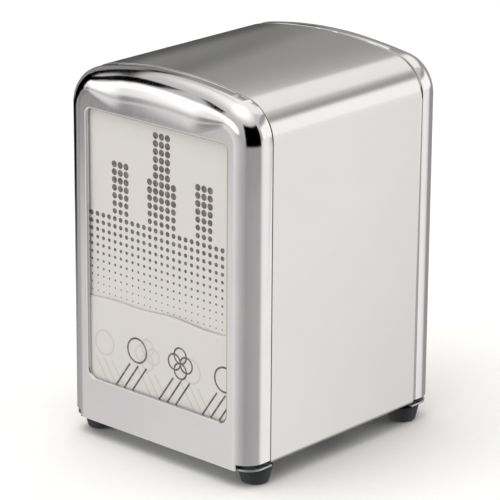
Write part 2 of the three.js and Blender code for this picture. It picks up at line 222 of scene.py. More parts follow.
def extrude(x: float = 0.0, y: float = 0.0, z: float = 0.0) -> None:
    """Extrudes what is selected and moves it."""
    bpy.ops.mesh.extrude_region_move(TRANSFORM_OT_translate={"value": (x, y, z)})


def face_outwards(piece: bpy.types.Object, towards: Callable[[Vector, Vector], float]) -> None:
    """Merges doubles and turns an open or closed shell's faces outwards.

    Args:
        piece: The object, in object mode.
        towards: Gives how far a face at a centre with a normal points outwards.
    """
    with editing(piece):
        bpy.ops.mesh.select_all(action="SELECT")
        bpy.ops.mesh.remove_doubles(threshold=NEAR)
        bpy.ops.mesh.normals_make_consistent(inside=False)
    score = sum(towards(f.center, f.normal) * f.area for f in piece.data.polygons)
    if score < 0:
        with editing(piece):
            bpy.ops.mesh.select_all(action="SELECT")
            bpy.ops.mesh.flip_normals()


def apply_modifier(piece: bpy.types.Object, kind: str, **settings: object) -> None:
    """Adds a modifier with its settings and applies it.

    Args:
        piece: The object to change.
        kind: The modifier's type, such as BEVEL.
        **settings: The modifier's own settings.
    """
    only(piece)
    modifier = piece.modifiers.new(kind.title(), kind)
    for key, value in settings.items():
        setattr(modifier, key, value)
    bpy.ops.object.modifier_apply(modifier=modifier.name)


def soften(piece: bpy.types.Object, width: float, segments: int = 2) -> None:
    """Rounds a piece's sharp edges.

    Args:
        piece: The object to change.
        width: How far the rounding reaches from each edge.
        segments: How many facets it has.
    """
    apply_modifier(
        piece,
        "BEVEL",
        width=width,
        segments=segments,
        limit_method="ANGLE",
        angle_limit=math.radians(50),
    )


def smooth(piece: bpy.types.Object, angle: float = 35.0) -> None:
    """Shades a piece smooth, creased where faces meet more sharply than an angle in degrees."""
    only(piece)
    bpy.ops.object.shade_smooth_by_angle(angle=math.radians(angle))


def copy_of(piece: bpy.types.Object, name: str) -> bpy.types.Object:
    """Copies a piece with a mesh of its own.

    Args:
        piece: The object to copy.
        name: The copy's name.

    Returns:
        The copy.
    """
    twin = piece.copy()
    twin.data = piece.data.copy()
    twin.name = twin.data.name = name
    bpy.context.scene.collection.objects.link(twin)
    return twin


def half_turn(piece: bpy.types.Object) -> None:
    """Turns a piece half round the upright axis, which takes the front side to the rear."""
    piece.rotation_euler.z = math.pi
    settle(piece)


def join(pieces: list[bpy.types.Object]) -> bpy.types.Object:
    """Joins pieces into the first of them.

    Args:
        pieces: The objects, all in object mode.

    Returns:
        The first object, which now holds them all.
    """
    only(pieces[0])
    for other in pieces[1:]:
        other.select_set(True)
    bpy.ops.object.join()
    return pieces[0]


def dress(piece: bpy.types.Object, *materials: bpy.types.Material) -> None:
    """Gives a piece its materials, in slot order."""
    piece.data.materials.clear()
    for material in materials:
        piece.data.materials.append(material)


def tie(piece: bpy.types.Object, body: str, node: str) -> None:
    """Makes a piece ride on a body and stand for a node.

    Args:
        piece: The object.
        body: The body that it moves with.
        node: The node that it replaces.
    """
    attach(piece, body)
    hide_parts(node)


# ---------- finishes ----------


def linear(hex_colour: str) -> tuple[float, float, float, float]:
    """Turns an sRGB hex colour into linear RGBA.

    Args:
        hex_colour: A colour such as #c8c8c4.

    Returns:
        Red, green, blue and alpha, from 0 to 1.
    """
    digits = hex_colour.lstrip("#")
    parts = [int(digits[i : i + 2], 16) / 255 for i in (0, 2, 4)]
    red, green, blue = (
        part / 12.92 if part <= 0.04045 else ((part + 0.055) / 1.055) ** 2.4 for part in parts
    )
    return red, green, blue, 1.0


def add_node(
    tree: bpy.types.NodeTree, kind: str, inputs: dict | None = None, **settings: object
) -> bpy.types.Node:
    """Adds a node with its settings and links.

    Args:
        tree: The node tree.
        kind: The node's type name, without the ShaderNode prefix.
        inputs: Socket name or index to a value or another node's output socket.
        **settings: The node's own settings.

    Returns:
        The new node.
    """
    node = tree.nodes.new("ShaderNode" + kind)
    for key, value in settings.items():
        setattr(node, key, value)
    for key, value in (inputs or {}).items():
        if isinstance(value, bpy.types.NodeSocket):
            tree.links.new(value, node.inputs[key])
        else:
            node.inputs[key].default_value = value
    return node


def new_material(name: str) -> tuple[bpy.types.Material, bpy.types.NodeTree, bpy.types.Node]:
    """Starts a material with its shader.

    Args:
        name: The finish's name.

    Returns:
        The material, its node tree and its Principled shader.
    """
    material = bpy.data.materials.new(name)
    material.use_nodes = True
    tree = material.node_tree
    return material, tree, tree.nodes["Principled BSDF"]


def finish_shader(
    tree: bpy.types.NodeTree,
    shader: bpy.types.Node,
    tone: bpy.types.NodeSocket,
    rough: bpy.types.NodeSocket | None = None,
    bump: bpy.types.NodeSocket | None = None,
    metallic: float = 0.0,
) -> None:
    """Gives a shader its colour and, where it has them, its roughness and bump.

    Args:
        tree: The node tree.
        shader: The material's shader.
        tone: The colour socket.
        rough: The roughness socket.
        bump: The normal socket.
        metallic: 1 for bare metal.
    """
    for name, socket in (("Base Color", tone), ("Roughness", rough), ("Normal", bump)):
        if socket is not None:
            tree.links.new(socket, shader.inputs[name])
    shader.inputs["Metallic"].default_value = metallic


def set_ramp(node: bpy.types.Node, stops: list[tuple[float, object]], mode: str = "LINEAR") -> None:
    """Sets the stops of a colour ramp.

    Args:
        node: The Color Ramp node.
        stops: Position and value pairs, a value being a grey level or a hex colour.
        mode: How the ramp runs between stops.
    """
    ramp = node.color_ramp
    ramp.interpolation = mode
    while len(ramp.elements) < len(stops):
        ramp.elements.new(1.0)
    for element, (place, value) in zip(ramp.elements, stops):
        element.position = place
        element.color = linear(value) if isinstance(value, str) else (value, value, value, 1.0)


@dataclass(frozen=True)
class SatinStainless:
    """Cold-rolled stainless sheet with a fine satin polish along the body.

    The belt leaves fine lines that spread a reflection softly and streak the roughness.
    """

    name: str = "satin_polished_stainless_sheet"
    steel: str = "#c8c7c5"
    steel_light: str = "#cecdca"
    roughness: float = 0.15
    roughness_spread: float = 0.015
    # Polishing lines about 0.15 mm apart run 30 times as long. They are drawn at 0.35 mm to show.
    line_mm: float = 0.35
    line_stretch: float = 30.0
    bump_mm: float = 0.0008

    def material(self) -> bpy.types.Material:
        """Makes the material."""
        material, tree, shader = new_material(self.name)
        place = add_node(tree, "TexCoord").outputs["Object"]
        per_metre = 1 / (self.line_mm * MM)
        stretched = add_node(
            tree,
            "Mapping",
            {"Vector": place, "Scale": (per_metre, per_metre / self.line_stretch, per_metre)},
        ).outputs["Vector"]
        lines = add_node(
            tree, "TexNoise", {"Vector": stretched, "Scale": 1.0, "Detail": 2.0, "Roughness": 0.6}
        ).outputs["Fac"]
        cloud = add_node(tree, "TexNoise", {"Vector": place, "Scale": 28.0, "Detail": 3.0}).outputs["Fac"]
        tone = add_node(
            tree, "MixRGB", {"Fac": cloud, "Color1": linear(self.steel), "Color2": linear(self.steel_light)}
        ).outputs["Color"]
        low = self.roughness - self.roughness_spread
        high = self.roughness + self.roughness_spread
        rough = add_node(
            tree,
            "MapRange",
            {"Value": lines, "From Min": 0.3, "From Max": 0.7, "To Min": low, "To Max": high},
        ).outputs["Result"]
        bump = add_node(
            tree, "Bump", {"Height": lines, "Strength": 0.35, "Distance": self.bump_mm * MM}
        ).outputs["Normal"]
        finish_shader(tree, shader, tone, rough, bump, metallic=1.0)
        return material


@dataclass(frozen=True)
class PolishedStainless:
    """Pressed stainless sheet, buffed to a mirror.

    Pressing leaves slow waves that bend reflections, and wiping leaves faint hairlines.
    """

    name: str = "mirror_buffed_stainless_pressing"
    steel: str = "#cbc9ca"
    steel_light: str = "#d5d3d3"
    roughness: float = 0.07
    hairline_roughness: float = 0.13
    # Hairlines a few hundredths of a millimetre wide, drawn 0.5 mm apart so that they show.
    hairline_mm: float = 0.5
    wave_mm: float = 14.0
    wave_height_mm: float = 0.02

    def material(self) -> bpy.types.Material:
        """Makes the material."""
        material, tree, shader = new_material(self.name)
        place = add_node(tree, "TexCoord").outputs["Object"]
        waves = add_node(
            tree, "TexNoise", {"Vector": place, "Scale": 1 / (self.wave_mm * MM), "Detail": 1.0}
        ).outputs["Fac"]
        per_metre = 1 / (self.hairline_mm * MM)
        along = add_node(
            tree, "Mapping", {"Vector": place, "Scale": (per_metre, per_metre, per_metre / 24)}
        ).outputs["Vector"]
        hairs = add_node(tree, "TexNoise", {"Vector": along, "Scale": 1.0, "Detail": 3.0}).outputs["Fac"]
        tone = add_node(
            tree, "MixRGB", {"Fac": waves, "Color1": linear(self.steel), "Color2": linear(self.steel_light)}
        ).outputs["Color"]
        rough = add_node(
            tree,
            "MapRange",
            {
                "Value": hairs,
                "From Min": 0.45,
                "From Max": 0.75,
                "To Min": self.roughness,
                "To Max": self.hairline_roughness,
            },
        ).outputs["Result"]
        bump = add_node(
            tree, "Bump", {"Height": waves, "Strength": 0.5, "Distance": self.wave_height_mm * MM}
        ).outputs["Normal"]
        finish_shader(tree, shader, tone, rough, bump, metallic=1.0)
        return material


@dataclass(frozen=True)
class ZincPlate:
    """Mild steel with bright zinc plate: a cool dull grey with a soft crystalline mottle."""

    name: str = "zinc_plated_steel"
    zinc: str = "#a5a9ac"
    zinc_light: str = "#c1c4c6"
    roughness: float = 0.36
    # The crystals of bright zinc are about 2 mm across.
    crystal_mm: float = 2.0

    def material(self) -> bpy.types.Material:
        """Makes the material."""
        material, tree, shader = new_material(self.name)
        place = add_node(tree, "TexCoord").outputs["Object"]
        crystals = add_node(
            tree, "TexVoronoi", {"Vector": place, "Scale": 1 / (self.crystal_mm * MM)}, feature="SMOOTH_F1"
        ).outputs["Distance"]
        tone = add_node(
            tree, "MixRGB", {"Fac": crystals, "Color1": linear(self.zinc), "Color2": linear(self.zinc_light)}
        ).outputs["Color"]
        rough = add_node(
            tree,
            "MapRange",
            {"Value": crystals, "To Min": self.roughness - 0.06, "To Max": self.roughness + 0.1},
        ).outputs["Result"]
        finish_shader(tree, shader, tone, rough, metallic=1.0)
        return material


@dataclass(frozen=True)
class SpringSteel:
    """Hard-drawn spring steel: dark grey, with fine drawing lines and a thin oil film."""

    name: str = "hard_drawn_spring_steel"
    steel: str = "#77787a"
    steel_light: str = "#96979a"
    roughness: float = 0.3
    # Drawing lines about 0.1 mm apart, drawn at 0.3 mm.
    line_mm: float = 0.3

    def material(self) -> bpy.types.Material:
        """Makes the material."""
        material, tree, shader = new_material(self.name)
        place = add_node(tree, "TexCoord").outputs["Object"]
        lines = add_node(
            tree, "TexNoise", {"Vector": place, "Scale": 1 / (self.line_mm * MM), "Detail": 2.0}
        ).outputs["Fac"]
        tone = add_node(
            tree, "MixRGB", {"Fac": lines, "Color1": linear(self.steel), "Color2": linear(self.steel_light)}
        ).outputs["Color"]
        rough = add_node(
            tree,
            "MapRange",
            {"Value": lines, "To Min": self.roughness - 0.08, "To Max": self.roughness + 0.12},
        ).outputs["Result"]
        finish_shader(tree, shader, tone, rough, metallic=1.0)
        return material


@dataclass(frozen=True)
class MouldedRubber:
    """Compression-moulded black rubber: nearly black and matt, with a faint bloom and a fine grain."""

    name: str = "moulded_black_rubber"
    rubber: str = "#141516"
    bloom: str = "#292c2f"
    roughness: float = 0.55
    # The mould's spark-eroded grain is about 0.25 mm across.
    grain_mm: float = 0.25
    bump_mm: float = 0.02

    def material(self) -> bpy.types.Material:
        """Makes the material."""
        material, tree, shader = new_material(self.name)
        place = add_node(tree, "TexCoord").outputs["Object"]
        grain = add_node(
            tree, "TexNoise", {"Vector": place, "Scale": 1 / (self.grain_mm * MM), "Detail": 2.0}
        ).outputs["Fac"]
        cloud = add_node(tree, "TexNoise", {"Vector": place, "Scale": 220.0, "Detail": 3.0}).outputs["Fac"]
        tone = add_node(
            tree, "MixRGB", {"Fac": cloud, "Color1": linear(self.rubber), "Color2": linear(self.bloom)}
        ).outputs["Color"]
        rough = add_node(
            tree,
            "MapRange",
            {"Value": cloud, "To Min": self.roughness - 0.1, "To Max": self.roughness + 0.15},
        ).outputs["Result"]
        bump = add_node(
            tree, "Bump", {"Height": grain, "Strength": 0.4, "Distance": self.bump_mm * MM}
        ).outputs["Normal"]
        finish_shader(tree, shader, tone, rough, bump)
        return material


class Print(Enum):
    """What is printed on a face of the tissue."""

    PLAIN = "plain"
    DOTS = "dot_field"
    SPROUTS = "sprouts"


@dataclass(frozen=True)
class Drawing:
    """The line drawing near the napkin's fold: slanting stalks, rings and a four-petal flower.

    Places are millimetres across from the napkin's middle and up from the table.
    """

    line_mm: float = 0.72
    stalk_groups: tuple[Point, ...] = ((-21.0, 22.3), (0.0, 22.3), (21.0, 22.3))
    stalk_gap_mm: float = 4.0
    stalk_lengths: tuple[float, ...] = (12.0, 12.0, 12.0)
    stalk_slant: float = 35.0
    rings: tuple[Triple, ...] = ((-10.5, 38.0, 4.5), (31.5, 38.0, 4.5))
    flower: Point = (10.5, 38.5)
    petal_mm: float = 2.9

    def strokes(self) -> list[tuple[Point, Point]]:
        """The stalks, each from its foot to its tip."""
        slant = math.radians(self.stalk_slant)
        found = []
        for x, z in self.stalk_groups:
            for i, length in enumerate(self.stalk_lengths):
                foot = (x + i * self.stalk_gap_mm, z)
                found.append((foot, (foot[0] + length * math.sin(slant), z + length * math.cos(slant))))
        return found

    def circles(self) -> list[Triple]:
        """The rings and the flower's petals, as x, z and radius."""
        x, z = self.flower
        reach = self.petal_mm * 0.98
        ways = ((1, 0), (-1, 0), (0, 1), (0, -1))
        petals = [(x + reach * a, z + reach * b, self.petal_mm) for a, b in ways]
        return [*self.rings, *petals]


@dataclass(frozen=True)
class Tissue:
    """Uncoated tissue paper, printed in one dark warm grey by rubber plates.

    The paper is off-white and soft, with a fine crepe, cloudy fibre and a weak show-through.
    """

    paper: str = "#d3cfca"
    paper_pink: str = "#d6cdca"
    paper_cool: str = "#cfd1cd"
    ink: str = "#463d37"
    ghost: str = "#b9b4ad"
    roughness: float = 0.92
    # The crepe runs across the sheet, about 0.7 mm from crest to crest.
    crepe_mm: float = 0.7
    crepe_height_mm: float = 0.05
    # The dot grid's pitch and its largest and smallest dots.
    pitch_mm: float = 2.86
    dot_large_mm: float = 2.5
    dot_small_mm: float = 0.55
    # Heights above the table between which the dots grow.
    small_below_mm: float = 56.0
    large_above_mm: float = 96.0
    # Half the print's width, and the height that the outline's ramp calls 1.
    print_half_mm: float = 33.5
    ramp_top_mm: float = 200.0
    # Heights above the table that the dots' columns reach, as steps across the napkin: a
    # stepped tower between two equal bars.
    outline: tuple[Point, ...] = (
        (0.0, 84.0), (0.15, 104.0), (0.25, 84.0), (0.38, 102.0), (0.44, 120.0), (0.56, 102.0),
        (0.62, 84.0), (0.75, 104.0), (0.85, 84.0),
    )
    drawing: Drawing = field(default_factory=Drawing)

    def material(self, kind: Print, side: Side) -> bpy.types.Material:
        """Makes the paper with one of its prints.

        Args:
            kind: What is printed.
            side: Which way the napkin faces, since the print runs left to right.

        Returns:
            The material.
        """
        material, tree, shader = new_material(f"tissue_{kind.value}_{side.label}")
        place = add_node(tree, "TexCoord").outputs["Object"]
        across = -side.value / MM
        flat = add_node(
            tree, "Mapping", {"Vector": place, "Scale": (across, 0.0, 1 / MM)}
        ).outputs["Vector"]
        tone = self.paper_tone(tree, place)
        if kind is Print.DOTS:
            tone = self.inked(tree, tone, self.dots(tree, flat), self.ink, 0.93)
        if kind is Print.SPROUTS:
            mirrored = add_node(
                tree, "Mapping", {"Vector": flat, "Scale": (-1.0, 1.0, 1.0), "Location": (5.0, 0.0, 1.0)}
            ).outputs["Vector"]
            tone = self.inked(tree, tone, self.lines(tree, mirrored), self.ghost, 0.55)
            tone = self.inked(tree, tone, self.lines(tree, flat), self.ink, 0.95)
        crepe = add_node(
            tree,
            "Mapping",
            {"Vector": place, "Scale": (1 / (self.crepe_mm * MM * 6), 1.0, 1 / (self.crepe_mm * MM))},
        ).outputs["Vector"]
        ridges = add_node(
            tree, "TexNoise", {"Vector": crepe, "Scale": 1.0, "Detail": 3.0, "Roughness": 0.65}
        ).outputs["Fac"]
        bump = add_node(
            tree, "Bump", {"Height": ridges, "Strength": 0.5, "Distance": self.crepe_height_mm * MM}
        ).outputs["Normal"]
        finish_shader(tree, shader, tone, bump=bump)
        shader.inputs["Roughness"].default_value = self.roughness
        shader.inputs["Specular IOR Level"].default_value = 0.25
        shader.inputs["Sheen Weight"].default_value = 0.15
        shader.inputs["Sheen Roughness"].default_value = 0.6
        return material

    def paper_tone(self, tree: bpy.types.NodeTree, place: bpy.types.NodeSocket) -> bpy.types.NodeSocket:
        """The unprinted paper: cloudy fibre in two faint tints with soft upright streaks.

        Args:
            tree: The node tree.
            place: Object coordinates.

        Returns:
            The colour socket.
        """
        cloud = add_node(tree, "TexNoise", {"Vector": place, "Scale": 55.0, "Detail": 4.0}).outputs["Fac"]
        tint = add_node(
            tree,
            "MixRGB",
            {"Fac": cloud, "Color1": linear(self.paper_pink), "Color2": linear(self.paper_cool)},
        ).outputs["Color"]
        fibre = add_node(
            tree, "TexNoise", {"Vector": place, "Scale": 900.0, "Detail": 5.0, "Roughness": 0.7}
        ).outputs["Fac"]
        grain = add_node(
            tree,
            "MapRange",
            {"Value": fibre, "From Min": 0.25, "From Max": 0.75, "To Min": 0.0, "To Max": 0.6},
        ).outputs["Result"]
        return add_node(
            tree, "MixRGB", {"Fac": grain, "Color1": tint, "Color2": linear(self.paper)}
        ).outputs["Color"]

    def inked(
        self,
        tree: bpy.types.NodeTree,
        under: bpy.types.NodeSocket,
        mask: bpy.types.NodeSocket,
        ink: str,
        strength: float,
    ) -> bpy.types.NodeSocket:
        """Lays ink over a colour, a little uneven as a soft plate prints it.

        Args:
            tree: The node tree.
            under: The colour below.
            mask: Where the ink is, from 0 to 1.
            ink: Its colour.
            strength: How fully it covers.

        Returns:
            The colour socket.
        """
        place = add_node(tree, "TexCoord").outputs["Object"]
        patch = add_node(tree, "TexNoise", {"Vector": place, "Scale": 700.0, "Detail": 2.0}).outputs["Fac"]
        cover = add_node(
            tree,
            "MapRange",
            {"Value": patch, "From Min": 0.3, "From Max": 0.6, "To Min": strength * 0.8, "To Max": strength},
        ).outputs["Result"]
        amount = add_node(tree, "Math", {0: mask, 1: cover}, operation="MULTIPLY").outputs[0]
        return add_node(
            tree, "MixRGB", {"Fac": amount, "Color1": under, "Color2": linear(ink)}
        ).outputs["Color"]

    def dots(self, tree: bpy.types.NodeTree, flat: bpy.types.NodeSocket) -> bpy.types.NodeSocket:
        """The dot field: a square grid whose dots shrink downwards under a stepped outline.

        Args:
            tree: The node tree.
            flat: Millimetres across and up.

        Returns:
            A mask of the dots.
        """
        grid = add_node(
            tree, "VectorMath", {0: flat, "Scale": 1 / self.pitch_mm}, operation="SCALE"
        ).outputs["Vector"]
        cell = add_node(tree, "VectorMath", {0: grid}, operation="FLOOR").outputs["Vector"]
        offset = add_node(tree, "VectorMath", {0: grid, 1: cell}, operation="SUBTRACT").outputs["Vector"]
        centred = add_node(
            tree, "VectorMath", {0: offset, 1: (0.5, 0.0, 0.5)}, operation="SUBTRACT"
        ).outputs["Vector"]
        away = add_node(tree, "VectorMath", {0: centred}, operation="LENGTH").outputs["Value"]
        split = add_node(tree, "SeparateXYZ", {0: cell})
        column = add_node(
            tree,
            "MapRange",
            {
                "Value": split.outputs["X"],
                "From Min": -self.print_half_mm / self.pitch_mm,
                "From Max": self.print_half_mm / self.pitch_mm,
            },
        ).outputs["Result"]
        steps = add_node(tree, "ValToRGB", {"Fac": column})
        tops = [(place, height / self.ramp_top_mm) for place, height in self.outline]
        set_ramp(steps, tops, "CONSTANT")
        row = add_node(
            tree, "Math", {0: split.outputs["Z"], 1: self.pitch_mm / self.ramp_top_mm}, operation="MULTIPLY"
        ).outputs[0]
        below = add_node(
            tree, "Math", {0: row, 1: steps.outputs["Color"]}, operation="LESS_THAN"
        ).outputs[0]
        size = add_node(
            tree,
            "MapRange",
            {
                "Value": split.outputs["Z"],
                "From Min": self.small_below_mm / self.pitch_mm,
                "From Max": self.large_above_mm / self.pitch_mm,
                "To Min": self.dot_small_mm / 2 / self.pitch_mm,
                "To Max": self.dot_large_mm / 2 / self.pitch_mm,
            },
        ).outputs["Result"]
        inside = add_node(tree, "Math", {0: size, 1: away}, operation="SUBTRACT").outputs[0]
        soft = add_node(
            tree,
            "MapRange",
            {"Value": inside, "From Min": -0.03, "From Max": 0.03},
            interpolation_type="SMOOTHSTEP",
        ).outputs["Result"]
        return add_node(tree, "Math", {0: soft, 1: below}, operation="MULTIPLY").outputs[0]

    def lines(self, tree: bpy.types.NodeTree, flat: bpy.types.NodeSocket) -> bpy.types.NodeSocket:
        """The line drawing, as the nearest distance to any of its strokes and rings.

        Args:
            tree: The node tree.
            flat: Millimetres across and up.

        Returns:
            A mask of the lines.
        """
        nearest = None
        for (x0, z0), (x1, z1) in self.drawing.strokes():
            length = math.hypot(x1 - x0, z1 - z0)
            way = ((x1 - x0) / length, 0.0, (z1 - z0) / length)
            local = add_node(
                tree, "VectorMath", {0: flat, 1: (x0, 0.0, z0)}, operation="SUBTRACT"
            ).outputs["Vector"]
            along = add_node(
                tree, "VectorMath", {0: local, 1: way}, operation="DOT_PRODUCT"
            ).outputs["Value"]
            held = add_node(
                tree, "Clamp", {"Value": along, "Min": 0.0, "Max": length}
            ).outputs["Result"]
            foot = add_node(
                tree, "VectorMath", {0: way, "Scale": held}, operation="SCALE"
            ).outputs["Vector"]
            away = add_node(tree, "VectorMath", {0: local, 1: foot}, operation="DISTANCE").outputs["Value"]
            nearest = away if nearest is None else add_node(
                tree, "Math", {0: nearest, 1: away}, operation="MINIMUM"
            ).outputs[0]
        for x, z, radius in self.drawing.circles():
            reach = add_node(
                tree, "VectorMath", {0: flat, 1: (x, 0.0, z)}, operation="DISTANCE"
            ).outputs["Value"]
            gap = add_node(tree, "Math", {0: reach, 1: radius}, operation="SUBTRACT").outputs[0]
            away = add_node(tree, "Math", {0: gap}, operation="ABSOLUTE").outputs[0]
            nearest = add_node(tree, "Math", {0: nearest, 1: away}, operation="MINIMUM").outputs[0]
        inside = add_node(
            tree, "Math", {0: self.drawing.line_mm / 2, 1: nearest}, operation="SUBTRACT"
        ).outputs[0]
        return add_node(
            tree,
            "MapRange",
            {"Value": inside, "From Min": -0.08, "From Max": 0.08},
            interpolation_type="SMOOTHSTEP",
        ).outputs["Result"]


@dataclass
class Finishes:
    """Every metal, rubber and paper of the dispenser, made once."""

    satin: bpy.types.Material = field(default_factory=lambda: SatinStainless().material())
    polished: bpy.types.Material = field(default_factory=lambda: PolishedStainless().material())
    zinc: bpy.types.Material = field(default_factory=lambda: ZincPlate().material())
    spring: bpy.types.Material = field(default_factory=lambda: SpringSteel().material())
    rubber: bpy.types.Material = field(default_factory=lambda: MouldedRubber().material())
    tissue: Tissue = field(default_factory=Tissue)


# ---------- the arched outline that sleeve and frames share ----------


@dataclass(frozen=True)
class Arch:
    """The body's cross-section: straight sides, round shoulders and a shallow arched roof."""

    half_width: float
    crown: float
    rise: float = 6 * MM
    shoulder: float = 14.4 * MM

    @property
    def radius(self) -> float:
        """The roof arch's radius."""
        return (self.half_width**2 + self.rise**2) / (2 * self.rise)

    @property
    def centre_z(self) -> float:
        """The height of the roof arch's centre."""
        return self.crown - self.radius

    @property
    def shoulder_x(self) -> float:
        """How far out the shoulders' centres are."""
        return self.half_width - self.shoulder

    @property
    def lean(self) -> float:
        """The angle from upright where shoulder meets roof."""
        return math.asin(self.shoulder_x / (self.radius - self.shoulder))

    @property
    def shoulder_z(self) -> float:
        """The height of the shoulders' centres."""
        return self.centre_z + math.cos(self.lean) * (self.radius - self.shoulder)

    def sweep(self, foot: float) -> None:
        """Sweeps the selected edge over the shoulders and roof, and down to a height.

        Args:
            foot: The height at which the far side ends.
        """
        quarter = math.pi / 2 - self.lean
        turns = (
            (self.shoulder_x, self.shoulder_z, quarter, 20),
            (0.0, self.centre_z, 2 * self.lean, 32),
            (-self.shoulder_x, self.shoulder_z, quarter, 20),
        )
        for x, z, angle, steps in turns:
            bpy.ops.mesh.spin(steps=steps, angle=angle, center=(x, 0.0, z), axis=(0.0, 1.0, 0.0))
        extrude(z=foot - self.shoulder_z)


# ---------- sleeve and base ----------


@dataclass
class Sleeve:
    """The bent outer sleeve, its base plate, rivets, feet and inner partition."""

    finishes: Finishes
    arch: Arch
    sheet: float = 0.6 * MM
    bend: float = 1.5 * MM
    flange_tip: float = 33 * MM
    flange_half_length: float = 32 * MM
    edge_round: float = 0.05 * MM
    corner_radius: float = 6.6 * MM
    foot_tread: float = 4.95 * MM
    foot_recess: float = 2.6 * MM
    rivet_shank: float = 1.5 * MM
    rivet_head: float = 0.8 * MM
    rivet_head_radius: float = 2.8 * MM
    rivet_tail: float = 0.75 * MM
    rivet_tail_radius: float = 2.5 * MM

    def build(self) -> None:
        """Builds and dresses every piece that stays put."""
        self.shell()
        self.base()
        self.feet()
        self.rivets()
        dress(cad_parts["centre_partition"], self.finishes.zinc)

    def shell(self) -> bpy.types.Object:
        """Bends the sleeve from one strip: flange, side, roof, side and flange.

        Returns:
            The sleeve.
        """
        low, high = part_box("sleeve_shell")
        bend_x = high.x - self.bend
        bend_z = low.z + self.bend
        bpy.ops.mesh.primitive_plane_add(
            size=1,
            location=((self.flange_tip + bend_x) / 2, (low.y + high.y) / 2, low.z),
        )
        piece = named_primitive("satin_sleeve", (bend_x - self.flange_tip, high.y - low.y, 1))
        with editing(piece):
            pick(piece, Pick.EDGE, lambda p: abs(p.x - bend_x) < NEAR)
            bpy.ops.mesh.spin(
                steps=6, angle=math.pi / 2, center=(bend_x, 0.0, bend_z), axis=(0.0, 1.0, 0.0)
            )
            extrude(z=self.arch.shoulder_z - bend_z)
            self.arch.sweep(bend_z)
            bpy.ops.mesh.spin(
                steps=6, angle=math.pi / 2, center=(-bend_x, 0.0, bend_z), axis=(0.0, 1.0, 0.0)
            )
            extrude(x=bend_x - self.flange_tip)
            for y in (-self.flange_half_length, self.flange_half_length):
                cut((0, y, 0), (0, 1, 0))
            reach = bend_x + 0.1 * MM
            pick(
                piece,
                Pick.FACE,
                lambda p: abs(p.y) > self.flange_half_length - NEAR
                and abs(p.x) < reach
                and p.z < bend_z,
            )
            bpy.ops.mesh.delete(type="FACE")
        face_outwards(piece, lambda c, n: n.dot(Vector((c.x, 0.0, c.z - 60 * MM))))
        apply_modifier(piece, "SOLIDIFY", thickness=self.sheet, offset=-1.0, use_even_offset=True)
        soften(piece, self.edge_round)
        smooth(piece, 20.0)
        dress(piece, self.finishes.satin)
        tie(piece, "sleeve", "sleeve_shell")
        log.info("sleeve: %d faces", len(piece.data.polygons))
        return piece

    def base(self) -> bpy.types.Object:
        """Cuts the base plate, with a waist under the sleeve and round corners under the frames.

        Returns:
            The plate.
        """
        low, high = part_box("base_plate")
        waist_x = self.arch.half_width - self.bend - 0.4 * MM
        waist_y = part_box("sleeve_shell")[1].y - 0.3 * MM
        bpy.ops.mesh.primitive_plane_add(size=1, location=(0, 0, low.z))
        piece = named_primitive("base_sheet", (high.x - low.x, high.y - low.y, 1))
        with editing(piece):
            pick(piece, Pick.VERT, lambda p: True)
            bpy.ops.mesh.bevel(offset=self.corner_radius, segments=10, profile=0.5, affect="VERTICES")
            for y in (waist_y, -waist_y):
                cut((0, y, 0), (0, 1, 0))
            for x in (-waist_x, waist_x):
                cut((x, 0, 0), (1, 0, 0))
            pick(piece, Pick.FACE, lambda p: abs(p.x) > waist_x - NEAR and abs(p.y) < waist_y + NEAR)
            bpy.ops.mesh.delete(type="FACE")
        face_outwards(piece, lambda c, n: -n.z)
        apply_modifier(piece, "SOLIDIFY", thickness=high.z - low.z, offset=-1.0)
        soften(piece, 0.2 * MM, segments=3)
        smooth(piece)
        dress(piece, self.finishes.zinc)
        tie(piece, "sleeve", "base_plate")
        return piece

    def feet(self) -> None:
        """Turns one tapered foot with a recess for its rivet, and sets four of them."""
        low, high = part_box("foot_front_left")
        middle = (low + high) / 2
        height = high.z - low.z
        bpy.ops.mesh.primitive_cone_add(
            vertices=64,
            radius1=self.foot_tread,
            radius2=(high.x - low.x) / 2,
            depth=height,
            end_fill_type="NGON",
            location=(middle.x, middle.y, middle.z),
        )
        foot = named_primitive("rubber_foot_front_left")
        with editing(foot):
            pick(foot, Pick.EDGE, lambda p: p.z < low.z + NEAR)
            bpy.ops.mesh.bevel(offset=0.7 * MM, segments=5, profile=0.5)
            pick(foot, Pick.EDGE, lambda p: p.z > high.z - NEAR)
            bpy.ops.mesh.bevel(offset=0.25 * MM, segments=3, profile=0.5)
            pick(foot, Pick.FACE, lambda p: p.z < low.z + NEAR)
            bpy.ops.mesh.inset(thickness=0.9 * MM)
            extrude(z=self.foot_recess)
            bpy.ops.mesh.inset(thickness=0.3 * MM)
        smooth(foot, 40)
        dress(foot, self.finishes.rubber)
        home = Vector((middle.x, middle.y, 0))
        for corner in ("front_right", "rear_left", "rear_right"):
            twin = copy_of(foot, f"rubber_foot_{corner}")
            there_low, there_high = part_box(f"foot_{corner}")
            there = (there_low + there_high) / 2
            twin.location = Vector((there.x, there.y, 0)) - home
            settle(twin)
            tie(twin, "sleeve", f"foot_{corner}")
        tie(foot, "sleeve", "foot_front_left")

